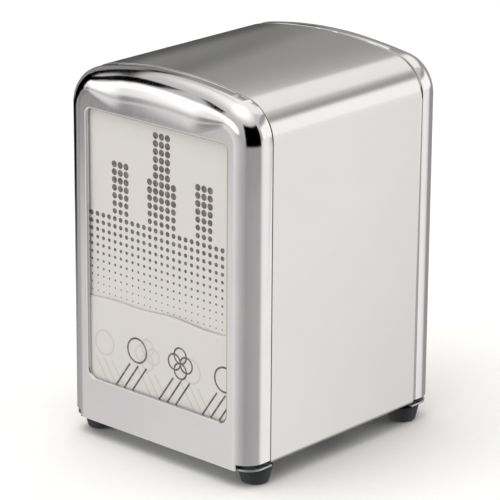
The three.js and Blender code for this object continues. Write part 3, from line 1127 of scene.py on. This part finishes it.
    def rivets(self) -> None:
        """Turns one rivet and copies it to every rivet's place, at its own length."""
        names = [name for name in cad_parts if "rivet" in name]
        for name in names:
            low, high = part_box(name)
            middle = (low + high) / 2
            bpy.ops.mesh.primitive_cylinder_add(
                vertices=32,
                radius=self.rivet_shank,
                depth=high.z - low.z,
                location=(middle.x, middle.y, middle.z),
            )
            piece = named_primitive(f"riveted_{name}")
            with editing(piece):
                head_z = high.z - self.rivet_head
                tail_z = low.z + self.rivet_tail
                cut((0, 0, head_z), (0, 0, 1))
                cut((0, 0, tail_z), (0, 0, 1))
                ends = (
                    (lambda p: p.z > head_z - NEAR, self.rivet_head_radius),
                    (lambda p: p.z < tail_z + NEAR, self.rivet_tail_radius),
                )
                for at_end, radius in ends:
                    pick(piece, Pick.FACE, at_end)
                    extrude()
                    wider = radius / self.rivet_shank
                    bpy.ops.transform.resize(
                        value=(wider, wider, 1), center_override=(middle.x, middle.y, 0)
                    )
                pick(piece, Pick.EDGE, lambda p: p.z > high.z - NEAR)
                bpy.ops.mesh.bevel(offset=0.7 * MM, segments=4, profile=0.5)
                pick(piece, Pick.EDGE, lambda p: p.z < low.z + NEAR)
                bpy.ops.mesh.bevel(offset=0.2 * MM, segments=2, profile=0.5)
            face_outwards(piece, lambda c, n: n.dot(c - middle))
            smooth(piece, 40)
            dress(piece, self.finishes.zinc)
            tie(piece, "sleeve", name)
        log.info("rivets: %d", len(names))


# ---------- window frames ----------


@dataclass
class WindowFrame:
    """A pressed window frame: hemmed window, flat face, rolled rim, lip and inner flange."""

    finishes: Finishes
    arch: Arch
    sheet: float = 0.6 * MM
    step: float = 0.2 * MM
    roll: float = 7.5 * MM
    lip: float = 11.2 * MM
    flange: float = 8.0 * MM
    flange_step: float = 0.9 * MM
    window_half: float = 33.3 * MM
    window_low: float = 22.7 * MM
    window_high: float = 122.6 * MM
    low_radius: float = 3.5 * MM
    high_radius: float = 2.0 * MM
    hem: float = 1.2 * MM
    hem_radius: float = 0.6 * MM
    apron_half: float = 38.0 * MM
    slot: float = 1.7 * MM
    crown: float = 7.6 * MM
    crown_half: float = 16.0 * MM
    rear_gap: float = 0.7 * MM
    tab_middle: float = 19.0 * MM
    tab_wide: float = 10.0 * MM
    tab_top: float = 7.9 * MM
    tab_reach: float = 5.4 * MM
    tab_nose: float = 2.0 * MM
    edge_round: float = 0.12 * MM

    def build(self) -> None:
        """Presses the front frame, turns a copy for the rear, and dresses the leaf clips."""
        front = self.press()
        rear = copy_of(front, "rear_window_frame")
        half_turn(rear)
        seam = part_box("rear_frame")[1].y - self.lip
        with editing(rear):
            pick(rear, Pick.VERT, lambda p: abs(p.y - seam) < 0.32 * MM and p.z > 0)
            bpy.ops.transform.translate(value=(0, self.rear_gap, 0))
        for piece, side in ((front, Side.FRONT), (rear, Side.REAR)):
            dress(piece, self.finishes.polished)
            tie(piece, f"{side.label}_frame", f"{side.label}_frame")
            for hand in ("left", "right"):
                dress(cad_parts[f"{side.label}_clip_{hand}"], self.finishes.spring)
        log.info("window frame: %d faces", len(front.data.polygons))

    def press(self) -> bpy.types.Object:
        """Presses one frame out of sheet.

        Returns:
            The front frame.
        """
        low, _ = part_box("front_frame")
        outline = self.outline()
        face_y = low.y
        lip_y = face_y + self.lip
        foot = -30 * MM
        bpy.ops.mesh.primitive_plane_add(
            size=1,
            location=(outline.half_width, (face_y + lip_y) / 2, (foot + outline.shoulder_z) / 2),
            rotation=(0, math.pi / 2, 0),
        )
        piece = named_primitive("front_window_frame", (outline.shoulder_z - foot, lip_y - face_y, 1))
        with editing(piece):
            pick(piece, Pick.EDGE, lambda p: abs(p.z - outline.shoulder_z) < NEAR)
            outline.sweep(foot)
            bpy.ops.mesh.select_all(action="SELECT")
            bpy.ops.mesh.remove_doubles(threshold=NEAR)
            pick(piece, Pick.EDGE, lambda p: abs(p.y - face_y) < NEAR)
            bpy.ops.mesh.edge_face_add()
            bpy.ops.mesh.select_all(action="SELECT")
            bpy.ops.mesh.normals_make_consistent(inside=False)
            pick(piece, Pick.EDGE, lambda p: abs(p.y - face_y) < NEAR)
            narrow(piece, lambda edge: not all(abs(v.co.z - foot) < NEAR for v in edge.verts))
            bpy.ops.mesh.bevel(offset=self.roll, segments=18, profile=0.5, clamp_overlap=False)
            self.lower_crown(piece, face_y)
            pick(piece, Pick.FACE, lambda p: abs(p.y - face_y) < NEAR)
            bpy.ops.mesh.inset(thickness=0.15 * MM)
            bpy.ops.mesh.delete(type="ONLY_FACE")
            pick(piece, Pick.EDGE, lambda p: abs(p.y - lip_y) < NEAR)
            extrude()
            bpy.ops.transform.shrink_fatten(value=-self.flange_step)
            extrude(y=self.flange)
        window = self.window(face_y)
        piece = join([piece, window])
        face_half = self.arch.half_width - self.roll - self.step + 1 * MM
        with editing(piece):
            bpy.ops.mesh.select_mode(type="EDGE")
            bpy.ops.mesh.select_non_manifold(
                extend=False,
                use_wire=True,
                use_boundary=True,
                use_multi_face=False,
                use_non_contiguous=False,
                use_verts=False,
            )
            narrow(
                piece,
                lambda edge: all(
                    abs(v.co.y - face_y) < NEAR and abs(v.co.x) < face_half for v in edge.verts
                ),
            )
            bpy.ops.mesh.fill(use_beauty=True)
        self.trim(piece, low.z)
        face_outwards(piece, lambda c, n: -n.y if c.y < face_y + 1e-5 else 0.0)
        apply_modifier(piece, "SOLIDIFY", thickness=self.sheet, offset=-1.0, use_even_offset=True)
        soften(piece, self.edge_round)
        smooth(piece, 20.0)
        return join([piece, *self.tabs()])

    def tabs(self) -> list[bpy.types.Object]:
        """Folds back the two bottom tabs that hook over the base plate.

        Returns:
            The left and the right tab.
        """
        made = []
        face_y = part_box("front_frame")[0].y
        for sign in (-1, 1):
            bpy.ops.mesh.primitive_plane_add(
                size=1,
                location=(sign * self.tab_middle, face_y + self.sheet + self.tab_reach / 2, self.tab_top),
            )
            tab = named_primitive("bottom_tab", (self.tab_wide, self.tab_reach, 1))
            with editing(tab):
                tip = face_y + self.sheet + self.tab_reach
                pick(tab, Pick.EDGE, lambda p: abs(p.y - tip) < NEAR)
                extrude(y=self.tab_nose)
                bpy.ops.transform.resize(
                    value=(0.7, 1, 1), center_override=(sign * self.tab_middle, tip, self.tab_top)
                )
            face_outwards(tab, lambda c, n: n.z)
            apply_modifier(tab, "SOLIDIFY", thickness=self.sheet, offset=-1.0)
            soften(tab, self.edge_round)
            smooth(tab)
            made.append(tab)
        return made

    def lower_crown(self, piece: bpy.types.Object, face_y: float) -> None:
        """Draws the roof's roll down over the window, most in the middle and none at the sides.

        Args:
            piece: The frame in edit mode, with its roll made.
            face_y: The depth of the frame's face.
        """
        mesh = bmesh.from_edit_mesh(piece.data)
        run = self.arch.half_width - self.step - self.roll - self.crown_half
        for vert in mesh.verts:
            cosine = (face_y + self.roll - vert.co.y) / self.roll
            if cosine <= 0 or vert.co.z < self.arch.shoulder_z - 8 * MM:
                continue
            sine = math.sqrt(max(0.0, 1 - min(1.0, cosine) ** 2))
            t = min(1.0, max(0.0, (abs(vert.co.x) - self.crown_half) / run))
            vert.co.z -= self.crown * (1 - sine) * (1 - t * t * (3 - 2 * t))
        bmesh.update_edit_mesh(piece.data)

    def outline(self) -> Arch:
        """The frame's outline, a step inside the sleeve's and with the same centres.

        Returns:
            The outline.
        """
        half_width = self.arch.half_width - self.step
        radius = self.arch.radius - self.step
        rise = radius - math.sqrt(radius**2 - half_width**2)
        return Arch(half_width, self.arch.crown - self.step, rise, self.arch.shoulder - self.step)

    def window(self, face_y: float) -> bpy.types.Object:
        """Makes the window's rim: a rounded rectangle, hemmed back round a small radius.

        Args:
            face_y: The depth of the frame's face.

        Returns:
            The rim, open at both edges.
        """
        margin = 0.9 * MM
        half = self.window_half + margin
        low = self.window_low - margin
        high = self.window_high + margin
        bpy.ops.mesh.primitive_plane_add(
            size=1,
            location=(0, face_y, (low + high) / 2),
            rotation=(math.pi / 2, 0, 0),
        )
        rim = named_primitive("window_rim", (2 * half, high - low, 1))
        with editing(rim):
            pick(rim, Pick.VERT, lambda p: p.z < low + NEAR)
            bpy.ops.mesh.bevel(
                offset=self.low_radius + margin, segments=10, profile=0.5, affect="VERTICES"
            )
            pick(rim, Pick.VERT, lambda p: p.z > high - NEAR)
            bpy.ops.mesh.bevel(
                offset=self.high_radius + margin, segments=10, profile=0.5, affect="VERTICES"
            )
            pick(rim, Pick.FACE, lambda p: True)
            bpy.ops.mesh.inset(thickness=margin)
            extrude(y=self.hem)
            bpy.ops.mesh.delete(type="ONLY_FACE")
            inside = self.window_half + 1e-5
            pick(
                rim,
                Pick.EDGE,
                lambda p: abs(p.y - face_y) < NEAR
                and abs(p.x) < inside
                and self.window_low - 1e-5 < p.z < self.window_high + 1e-5,
            )
            bpy.ops.mesh.bevel(offset=self.hem_radius, segments=5, profile=0.5, clamp_overlap=False)
        return rim

    def trim(self, piece: bpy.types.Object, bottom: float) -> None:
        """Trims the columns above the base plate and leaves the apron down in front of it.

        Args:
            piece: The frame's outer skin.
            bottom: The apron's lowest height.
        """
        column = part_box("base_plate")[1].z + self.slot
        apron_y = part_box("front_frame")[0].y + self.sheet
        with editing(piece):
            cut((0, 0, bottom), (0, 0, 1), clear_inner=True)
            cut((0, 0, column), (0, 0, 1))
            for x in (-self.apron_half, self.apron_half):
                cut((x, 0, 0), (1, 0, 0))
            pick(
                piece,
                Pick.FACE,
                lambda p: p.z < column + NEAR
                and (abs(p.x) > self.apron_half - NEAR or p.y > apron_y),
            )
            bpy.ops.mesh.delete(type="FACE")


# ---------- pushers and springs ----------


@dataclass
class Pusher:
    """A pressed tray behind each stack, and the tapered coil spring that drives it."""

    finishes: Finishes
    side: Side
    turns: int = 5
    wide: float = 26 * MM
    narrow: float = 13 * MM
    wire: float = 0.6 * MM
    height: float = 68 * MM

    def build(self) -> None:
        """Dresses the tray and winds the spring."""
        dress(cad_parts[f"{self.side.label}_pusher"], self.finishes.zinc)
        self.spring()

    def spring(self) -> bpy.types.Object:
        """Winds the coil from the partition to the pusher.

        Returns:
            The spring.
        """
        low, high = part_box(f"{self.side.label}_spring")
        near, far = (low.y, high.y) if self.side is Side.REAR else (high.y, low.y)
        inward = self.wire * self.side.value
        start, end = near + inward, far - inward
        curve = bpy.data.curves.new(f"{self.side.label}_coil", "CURVE")
        curve.dimensions = "3D"
        curve.bevel_depth = self.wire
        curve.bevel_resolution = 3
        curve.use_fill_caps = True
        steps = self.turns * 28
        line = curve.splines.new("POLY")
        line.points.add(steps)
        for i, point in enumerate(line.points):
            along = i / steps
            angle = along * self.turns * math.tau
            radius = self.wide + (self.narrow - self.wide) * along
            x = -self.side.value * radius * math.cos(angle)
            point.co = (x, start + (end - start) * along, self.height + radius * math.sin(angle), 1)
        coil = bpy.data.objects.new(curve.name, curve)
        bpy.context.scene.collection.objects.link(coil)
        only(coil)
        bpy.ops.object.convert(target="MESH")
        piece = bpy.context.object
        piece.name = piece.data.name = f"{self.side.label}_tapered_spring"
        face_outwards(piece, lambda c, n: 1.0)
        smooth(piece, 50)
        dress(piece, self.finishes.spring)
        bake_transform(piece)
        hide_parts(f"{self.side.label}_spring")
        log.info("%s: %d faces", piece.name, len(piece.data.polygons))
        return piece


# ---------- napkins ----------


@dataclass
class Napkins:
    """The stack of folded tissue napkins behind a window, and the front one with its flap."""

    finishes: Finishes
    side: Side
    flat: float = 170 * MM
    layers: int = 34
    sheet: float = 0.08 * MM
    flap_top: float = 54.0 * MM
    across: int = 56
    rows: int = 76
    flap_rows: int = 32
    fold_rows: int = 5
    # How far the napkin stands in front of its solid, and the radii of its bottom fold.
    forward: float = 0.7 * MM
    fold: float = 0.1 * MM
    fold_rise: float = 0.3 * MM
    # How far the second half lies from the first.
    half_gap: float = 0.7 * MM
    curl_from: float = 33.5 * MM
    stack_bend: float = 2.2 * MM
    stack_bend_from: float = 26 * MM
    stack_bend_run: float = 16.1 * MM
    seed: int = 11

    def build(self) -> None:
        """Folds the front napkin and lays the stack behind it."""
        self.front_napkin()
        self.stack()

    def depth(self, x: float, z: float) -> float:
        """How far back a sheet curls at its long edges, with a little slack in the middle.

        Args:
            x: Place across.
            z: Height.

        Returns:
            The distance behind the flat plane.
        """
        run = max(0.0, abs(x) - self.curl_from)
        curl = 2.4 * MM * (run / (9 * MM)) ** 2
        slack = 0.1 * MM * math.sin(x * 95 + 0.6) * math.sin(z * 52 + 0.4)
        return curl + slack

    def front_napkin(self) -> bpy.types.Object:
        """Folds one square napkin: double across, then up in front as a flap.

        Returns:
            The napkin.
        """
        low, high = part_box(f"{self.side.label}_napkin")
        sign = self.side.value
        plane = low.y if self.side is Side.FRONT else high.y
        half = (high.x - low.x) / 2
        bottom, top = low.z, high.z
        profile: list[Point] = []
        back = -self.forward
        low_edge = bottom + self.fold_rise
        for i in range(self.rows):
            profile.append((back, top - (top - low_edge) * i / (self.rows - 1)))
        for i in range(1, self.fold_rows + 1):
            angle = math.pi * i / (self.fold_rows + 1)
            deep = back - self.fold + self.fold * math.cos(angle)
            profile.append((deep, low_edge - self.fold_rise * math.sin(angle)))
        last = self.flap_rows - 1
        for i in range(self.flap_rows):
            deep = back - 2 * self.fold - 0.1 * MM * math.sin(math.pi * i / last)
            profile.append((deep, low_edge))
        rows_flat = self.rows + self.fold_rows
        verts: list[Triple] = []
        columns: list[Point] = []
        for i in range(self.across + 1):
            columns.append((half - 2 * half * i / self.across, 0.0))
        for i in range(self.across + 1):
            columns.append((-half + 2 * half * i / self.across, self.half_gap))
        for row, (deep, z) in enumerate(profile):
            for x, shift in columns:
                if row >= rows_flat:
                    share = (row - rows_flat) / last
                    wave = 0.5 * MM * math.sin(x * 70 + 1.0) + 0.35 * MM * math.sin(x * 210)
                    level = low_edge + (self.flap_top + wave - low_edge) * share
                    puff = 0.12 * MM * math.sin(x * 120 + 2.0) * share
                    inward = max(0.0, 1 - (x / (31 * MM)) ** 2)
                    lift = 0.65 * MM * share**5 * inward * (0.7 + 0.3 * math.sin(x * 60 - 0.6))
                    back_off = deep - shift * 0.1 + puff - lift
                else:
                    level = z
                    back_off = deep + shift
                y = plane - sign * (back_off + self.depth(x, level))
                verts.append((x, y, level))
        width = len(columns)
        faces = []
        for row in range(len(profile) - 1):
            for column in range(width - 1):
                a = row * width + column
                faces.append((a, a + 1, a + 1 + width, a + width))
        mesh = bpy.data.meshes.new(f"{self.side.label}_folded_napkin")
        mesh.from_pydata(verts, [], faces)
        piece = bpy.data.objects.new(mesh.name, mesh)
        bpy.context.scene.collection.objects.link(piece)
        dress(
            piece,
            self.finishes.tissue.material(Print.PLAIN, self.side),
            self.finishes.tissue.material(Print.DOTS, self.side),
            self.finishes.tissue.material(Print.SPROUTS, self.side),
        )
        for index, polygon in enumerate(mesh.polygons):
            row, column = divmod(index, width - 1)
            if column < self.across and row < self.rows - 1:
                polygon.material_index = 1
            elif column > self.across and row >= rows_flat:
                polygon.material_index = 2
        only(piece)
        bpy.ops.object.shade_smooth()
        apply_modifier(piece, "SOLIDIFY", thickness=self.sheet, offset=0.0)
        tie(piece, "sleeve", f"{self.side.label}_napkin")
        log.info("%s: %d faces", piece.name, len(piece.data.polygons))
        return piece

    def stack(self) -> bpy.types.Object:
        """Lays folded napkins one behind another, each a touch out of line.

        Returns:
            The stack as one piece.
        """
        low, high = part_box(f"{self.side.label}_napkin_stack")
        sign = self.side.value
        first, last = (low.y, high.y) if self.side is Side.FRONT else (high.y, low.y)
        half = (high.x - low.x) / 2
        span = abs(last - first)
        dice = random.Random(self.seed)
        sheets = []
        for layer in range(self.layers):
            share = layer / self.layers
            ply = (span - self.stack_bend * share) / self.layers * 0.92
            inner = half - dice.uniform(0.05, 0.7) * MM
            lift = dice.uniform(0.0, 0.8) * MM
            drop = dice.uniform(0.0, 0.9) * MM
            bpy.ops.mesh.primitive_grid_add(
                x_subdivisions=10,
                y_subdivisions=3,
                size=2,
                location=(0, 0, (low.z + lift + high.z - drop) / 2),
                rotation=(math.pi / 2, 0, 0),
            )
            half_height = (high.z - drop - low.z - lift) / 2
            sheet = named_primitive(f"stacked_{layer}", (inner, half_height, 1))
            plane = first - sign * (span * share + 0.1 * MM)
            for vert in sheet.data.vertices:
                run = max(0.0, abs(vert.co.x) - self.stack_bend_from)
                curl = self.stack_bend * (1 - share) * (run / self.stack_bend_run) ** 2
                vert.co.y = plane - sign * curl
            apply_modifier(sheet, "SOLIDIFY", thickness=ply, offset=-1.0 if sign < 0 else 1.0)
            soften(sheet, ply * 0.42)
            sheets.append(sheet)
        piece = join(sheets)
        piece.name = piece.data.name = f"{self.side.label}_stacked_napkins"
        face_outwards(piece, lambda c, n: 1.0)
        smooth(piece, 50)
        dress(piece, self.finishes.tissue.material(Print.PLAIN, self.side))
        tie(piece, "sleeve", f"{self.side.label}_napkin_stack")
        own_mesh(piece)
        log.info("%s: %d faces", piece.name, len(piece.data.polygons))
        return piece


# ---------- table, light and camera ----------


@dataclass(frozen=True)
class Softbox:
    """A soft-edged patch of the surroundings, by compass bearing and height in degrees."""

    bearing: float
    height: float
    half_wide: float
    half_tall: float
    edge: float
    level: float
    oval: bool = False


@dataclass
class Studio:
    """A pale table in a plain studio with soft boxes and dark flags round it."""

    floor_tone: str = "#f2f1ef"
    # What the metal sees higher up, by height: grey walls that brighten to a white ceiling.
    sky: tuple[Point, ...] = ((0, 0.6), (45, 0.85), (60, 1.4), (70, 1.7))
    # What it sees low down, by bearing: a pale sweep at the front left and another at the back
    # right, with mid grey between them and a darker corner at the back left.
    low_ring: tuple[Point, ...] = (
        (-180, 0.7), (-140, 1.1), (-125, 0.6), (-90, 0.5), (-50, 0.35), (26, 0.45), (40, 1.3),
        (55, 1.25), (75, 0.6), (150, 0.5), (180, 0.7),
    )
    ring_scale: float = 1.3
    sky_scale: float = 1.7
    patches: tuple[Softbox, ...] = (
        Softbox(-12, 45, 32, 13, 10, 1.3),
        Softbox(-24, 14, 28, 15, 8, 0.45),
        Softbox(-50, 11, 18, 12, 5, 0.4),
        Softbox(-86, 12, 43, 31, 4, 0.0, oval=True),
        Softbox(-75, 12, 27, 25, 3, 0.35, oval=True),
        Softbox(-106, 10, 20, 20, 4, 0.0),
        Softbox(-124, 30, 8, 5, 3, 0.0),
        Softbox(-50, 6, 7, 10, 4, 0.3),
        Softbox(-46, -6, 14, 10, 3, 0.1),
        Softbox(-138, 10, 14, 9, 7, 1.2),
        Softbox(-139, 18, 12, 5, 4, 1.7),
        Softbox(-160, 12, 24, 12, 5, 1.7, oval=True),
        Softbox(-133, 0, 4, 3, 4, 0.4),
        Softbox(-128, -11, 9, 6, 4, 0.35),
        Softbox(22, 29, 22, 5, 6, 0.5),
        Softbox(34, 11, 22, 13, 8, 1.5),
        Softbox(110, 13, 41, 26, 8, 0.0),
    )
    fill: float = 10.0
    # Round the object from its front, up, and rolled, in degrees.
    camera_angles: Triple = (42.279, 18.538, 0.362)
    camera_away: float = 1.06484
    focal_mm: float = 213.96
    target_left: float = 1.237 * MM
    target_down: float = 3.918 * MM

    def build(self) -> None:
        """Sets the table, the surroundings and the camera."""
        self.table()
        self.surroundings()
        self.fill_light()
        self.camera()

    def table(self) -> None:
        """A wide pale table top with a barely visible grain."""
        bpy.ops.mesh.primitive_plane_add(size=60, location=(0, 0, -0.0002))
        floor = bpy.context.object
        floor.name = "table_top"
        material, tree, shader = new_material("pale_table")
        place = add_node(tree, "TexCoord").outputs["Object"]
        grain = add_node(tree, "TexNoise", {"Vector": place, "Scale": 300.0}).outputs["Fac"]
        tone = add_node(
            tree, "MixRGB", {"Fac": grain, "Color1": linear(self.floor_tone), "Color2": linear("#f6f5f3")}
        ).outputs["Color"]
        finish_shader(tree, shader, tone)
        shader.inputs["Roughness"].default_value = 0.6
        dress(floor, material)
        floor.visible_glossy = False

    def fill_light(self) -> None:
        """A broad soft light overhead, kept out of the metal's reflections."""
        light = bpy.data.lights.new("overhead_fill", "AREA")
        light.shape = "DISK"
        light.size = 1.6
        light.energy = self.fill
        lamp = bpy.data.objects.new("overhead_fill", light)
        bpy.context.scene.collection.objects.link(lamp)
        lamp.location = (-0.3, -0.5, 1.5)
        lamp.rotation_euler = Vector(lamp.location).to_track_quat("Z", "Y").to_euler()
        lamp.visible_glossy = False

    def surroundings(self) -> None:
        """Paints the studio's walls by direction: a pale gradient with soft boxes and flags."""
        world = bpy.data.worlds.new("studio")
        bpy.context.scene.world = world
        world.use_nodes = True
        tree = world.node_tree
        way = add_node(tree, "TexCoord").outputs["Generated"]
        parts = add_node(tree, "SeparateXYZ", {0: way})
        bearing = add_node(
            tree, "Math", {0: parts.outputs["X"], 1: parts.outputs["Y"]}, operation="ARCTAN2"
        ).outputs[0]
        height = add_node(tree, "Math", {0: parts.outputs["Z"]}, operation="ARCSINE").outputs[0]
        climb = add_node(tree, "MapRange", {"Value": height, "From Max": math.pi / 2}).outputs["Result"]
        sky = add_node(tree, "ValToRGB", {"Fac": climb})
        set_ramp(sky, [(rise / 90, tone / self.sky_scale) for rise, tone in self.sky])
        level = add_node(
            tree, "Math", {0: sky.outputs["Color"], 1: self.sky_scale}, operation="MULTIPLY"
        ).outputs[0]
        round_fraction = add_node(
            tree, "MapRange", {"Value": bearing, "From Min": -math.pi, "From Max": math.pi}
        ).outputs["Result"]
        ring = add_node(tree, "ValToRGB", {"Fac": round_fraction})
        set_ramp(ring, [((turn + 180) / 360, tone / self.ring_scale) for turn, tone in self.low_ring])
        low = add_node(
            tree, "Math", {0: ring.outputs["Color"], 1: self.ring_scale}, operation="MULTIPLY"
        ).outputs[0]
        above_table = add_node(
            tree,
            "MapRange",
            {"Value": height, "From Min": math.radians(-4), "From Max": math.radians(1)},
            interpolation_type="SMOOTHSTEP",
        ).outputs["Result"]
        level = add_node(
            tree, "Mix", {"Factor": above_table, 2: low, 3: level}, data_type="FLOAT"
        ).outputs[0]
        for patch in self.patches:
            turn = add_node(
                tree, "Math", {0: bearing, 1: math.radians(patch.bearing)}, operation="SUBTRACT"
            ).outputs[0]
            turned = add_node(
                tree, "Math", {0: turn, 1: -math.pi, 2: math.pi}, operation="WRAP"
            ).outputs[0]
            aside = add_node(tree, "Math", {0: turned}, operation="ABSOLUTE").outputs[0]
            rise = add_node(
                tree, "Math", {0: height, 1: math.radians(patch.height)}, operation="SUBTRACT"
            ).outputs[0]
            above = add_node(tree, "Math", {0: rise}, operation="ABSOLUTE").outputs[0]
            halves = (math.radians(patch.half_wide), math.radians(patch.half_tall))
            if patch.oval:
                stretched = add_node(
                    tree, "Math", {0: aside, 1: halves[1] / halves[0]}, operation="MULTIPLY"
                ).outputs[0]
                across = add_node(tree, "CombineXYZ", {"X": stretched, "Y": above}).outputs["Vector"]
                reach = add_node(tree, "VectorMath", {0: across}, operation="LENGTH").outputs["Value"]
                limits = ((reach, halves[1]),)
            else:
                limits = ((aside, halves[0]), (above, halves[1]))
            cover = None
            for value, half in limits:
                inside = add_node(tree, "Math", {0: half, 1: value}, operation="SUBTRACT").outputs[0]
                soft = math.radians(patch.edge / 2)
                mask = add_node(
                    tree,
                    "MapRange",
                    {"Value": inside, "From Min": -soft, "From Max": soft},
                    interpolation_type="SMOOTHSTEP",
                ).outputs["Result"]
                cover = mask if cover is None else add_node(
                    tree, "Math", {0: mask, 1: cover}, operation="MULTIPLY"
                ).outputs[0]
            level = add_node(
                tree, "Mix", {"Factor": cover, 2: level, 3: patch.level}, data_type="FLOAT"
            ).outputs[0]
        background = tree.nodes["Background"]
        tree.links.new(level, background.inputs["Strength"])
        background.inputs["Color"].default_value = (1.0, 0.997, 0.988, 1.0)

    def camera(self) -> None:
        """A long lens from the front right, a little above the dispenser."""
        low, high = CAD_BOX
        azimuth, elevation, roll = (math.radians(angle) for angle in self.camera_angles)
        back = Vector(
            (
                math.sin(azimuth) * math.cos(elevation),
                -math.cos(azimuth) * math.cos(elevation),
                math.sin(elevation),
            )
        )
        right = (-back).cross(Vector((0, 0, 1))).normalized()
        up = right.cross(-back)
        middle = Vector((0, 0, (low[2] + high[2]) / 2))
        target = middle - right * self.target_left - up * self.target_down
        tilted_right = right * math.cos(roll) + up * math.sin(roll)
        tilted_up = up * math.cos(roll) - right * math.sin(roll)
        lens = bpy.data.cameras.new("camera")
        lens.sensor_width = 36.0
        lens.lens = self.focal_mm
        lens.clip_end = 100.0
        camera = bpy.data.objects.new("camera", lens)
        bpy.context.scene.collection.objects.link(camera)
        turn = Matrix((tilted_right, tilted_up, back)).transposed().to_4x4()
        camera.matrix_world = Matrix.Translation(target + back * self.camera_away) @ turn
        bpy.context.scene.camera = camera
        bpy.context.scene.view_settings.view_transform = "Standard"


def main() -> None:
    """Builds the studio and every piece."""
    logging.basicConfig(level=logging.INFO, format="%(name)s: %(message)s")
    low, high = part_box("sleeve_shell")
    arch = Arch(half_width=high.x, crown=high.z)
    finishes = Finishes()
    Studio().build()
    Sleeve(finishes, arch).build()
    WindowFrame(finishes, arch).build()
    for side in Side:
        Pusher(finishes, side).build()
        Napkins(finishes, side).build()


if __name__ == "__main__":
    main()
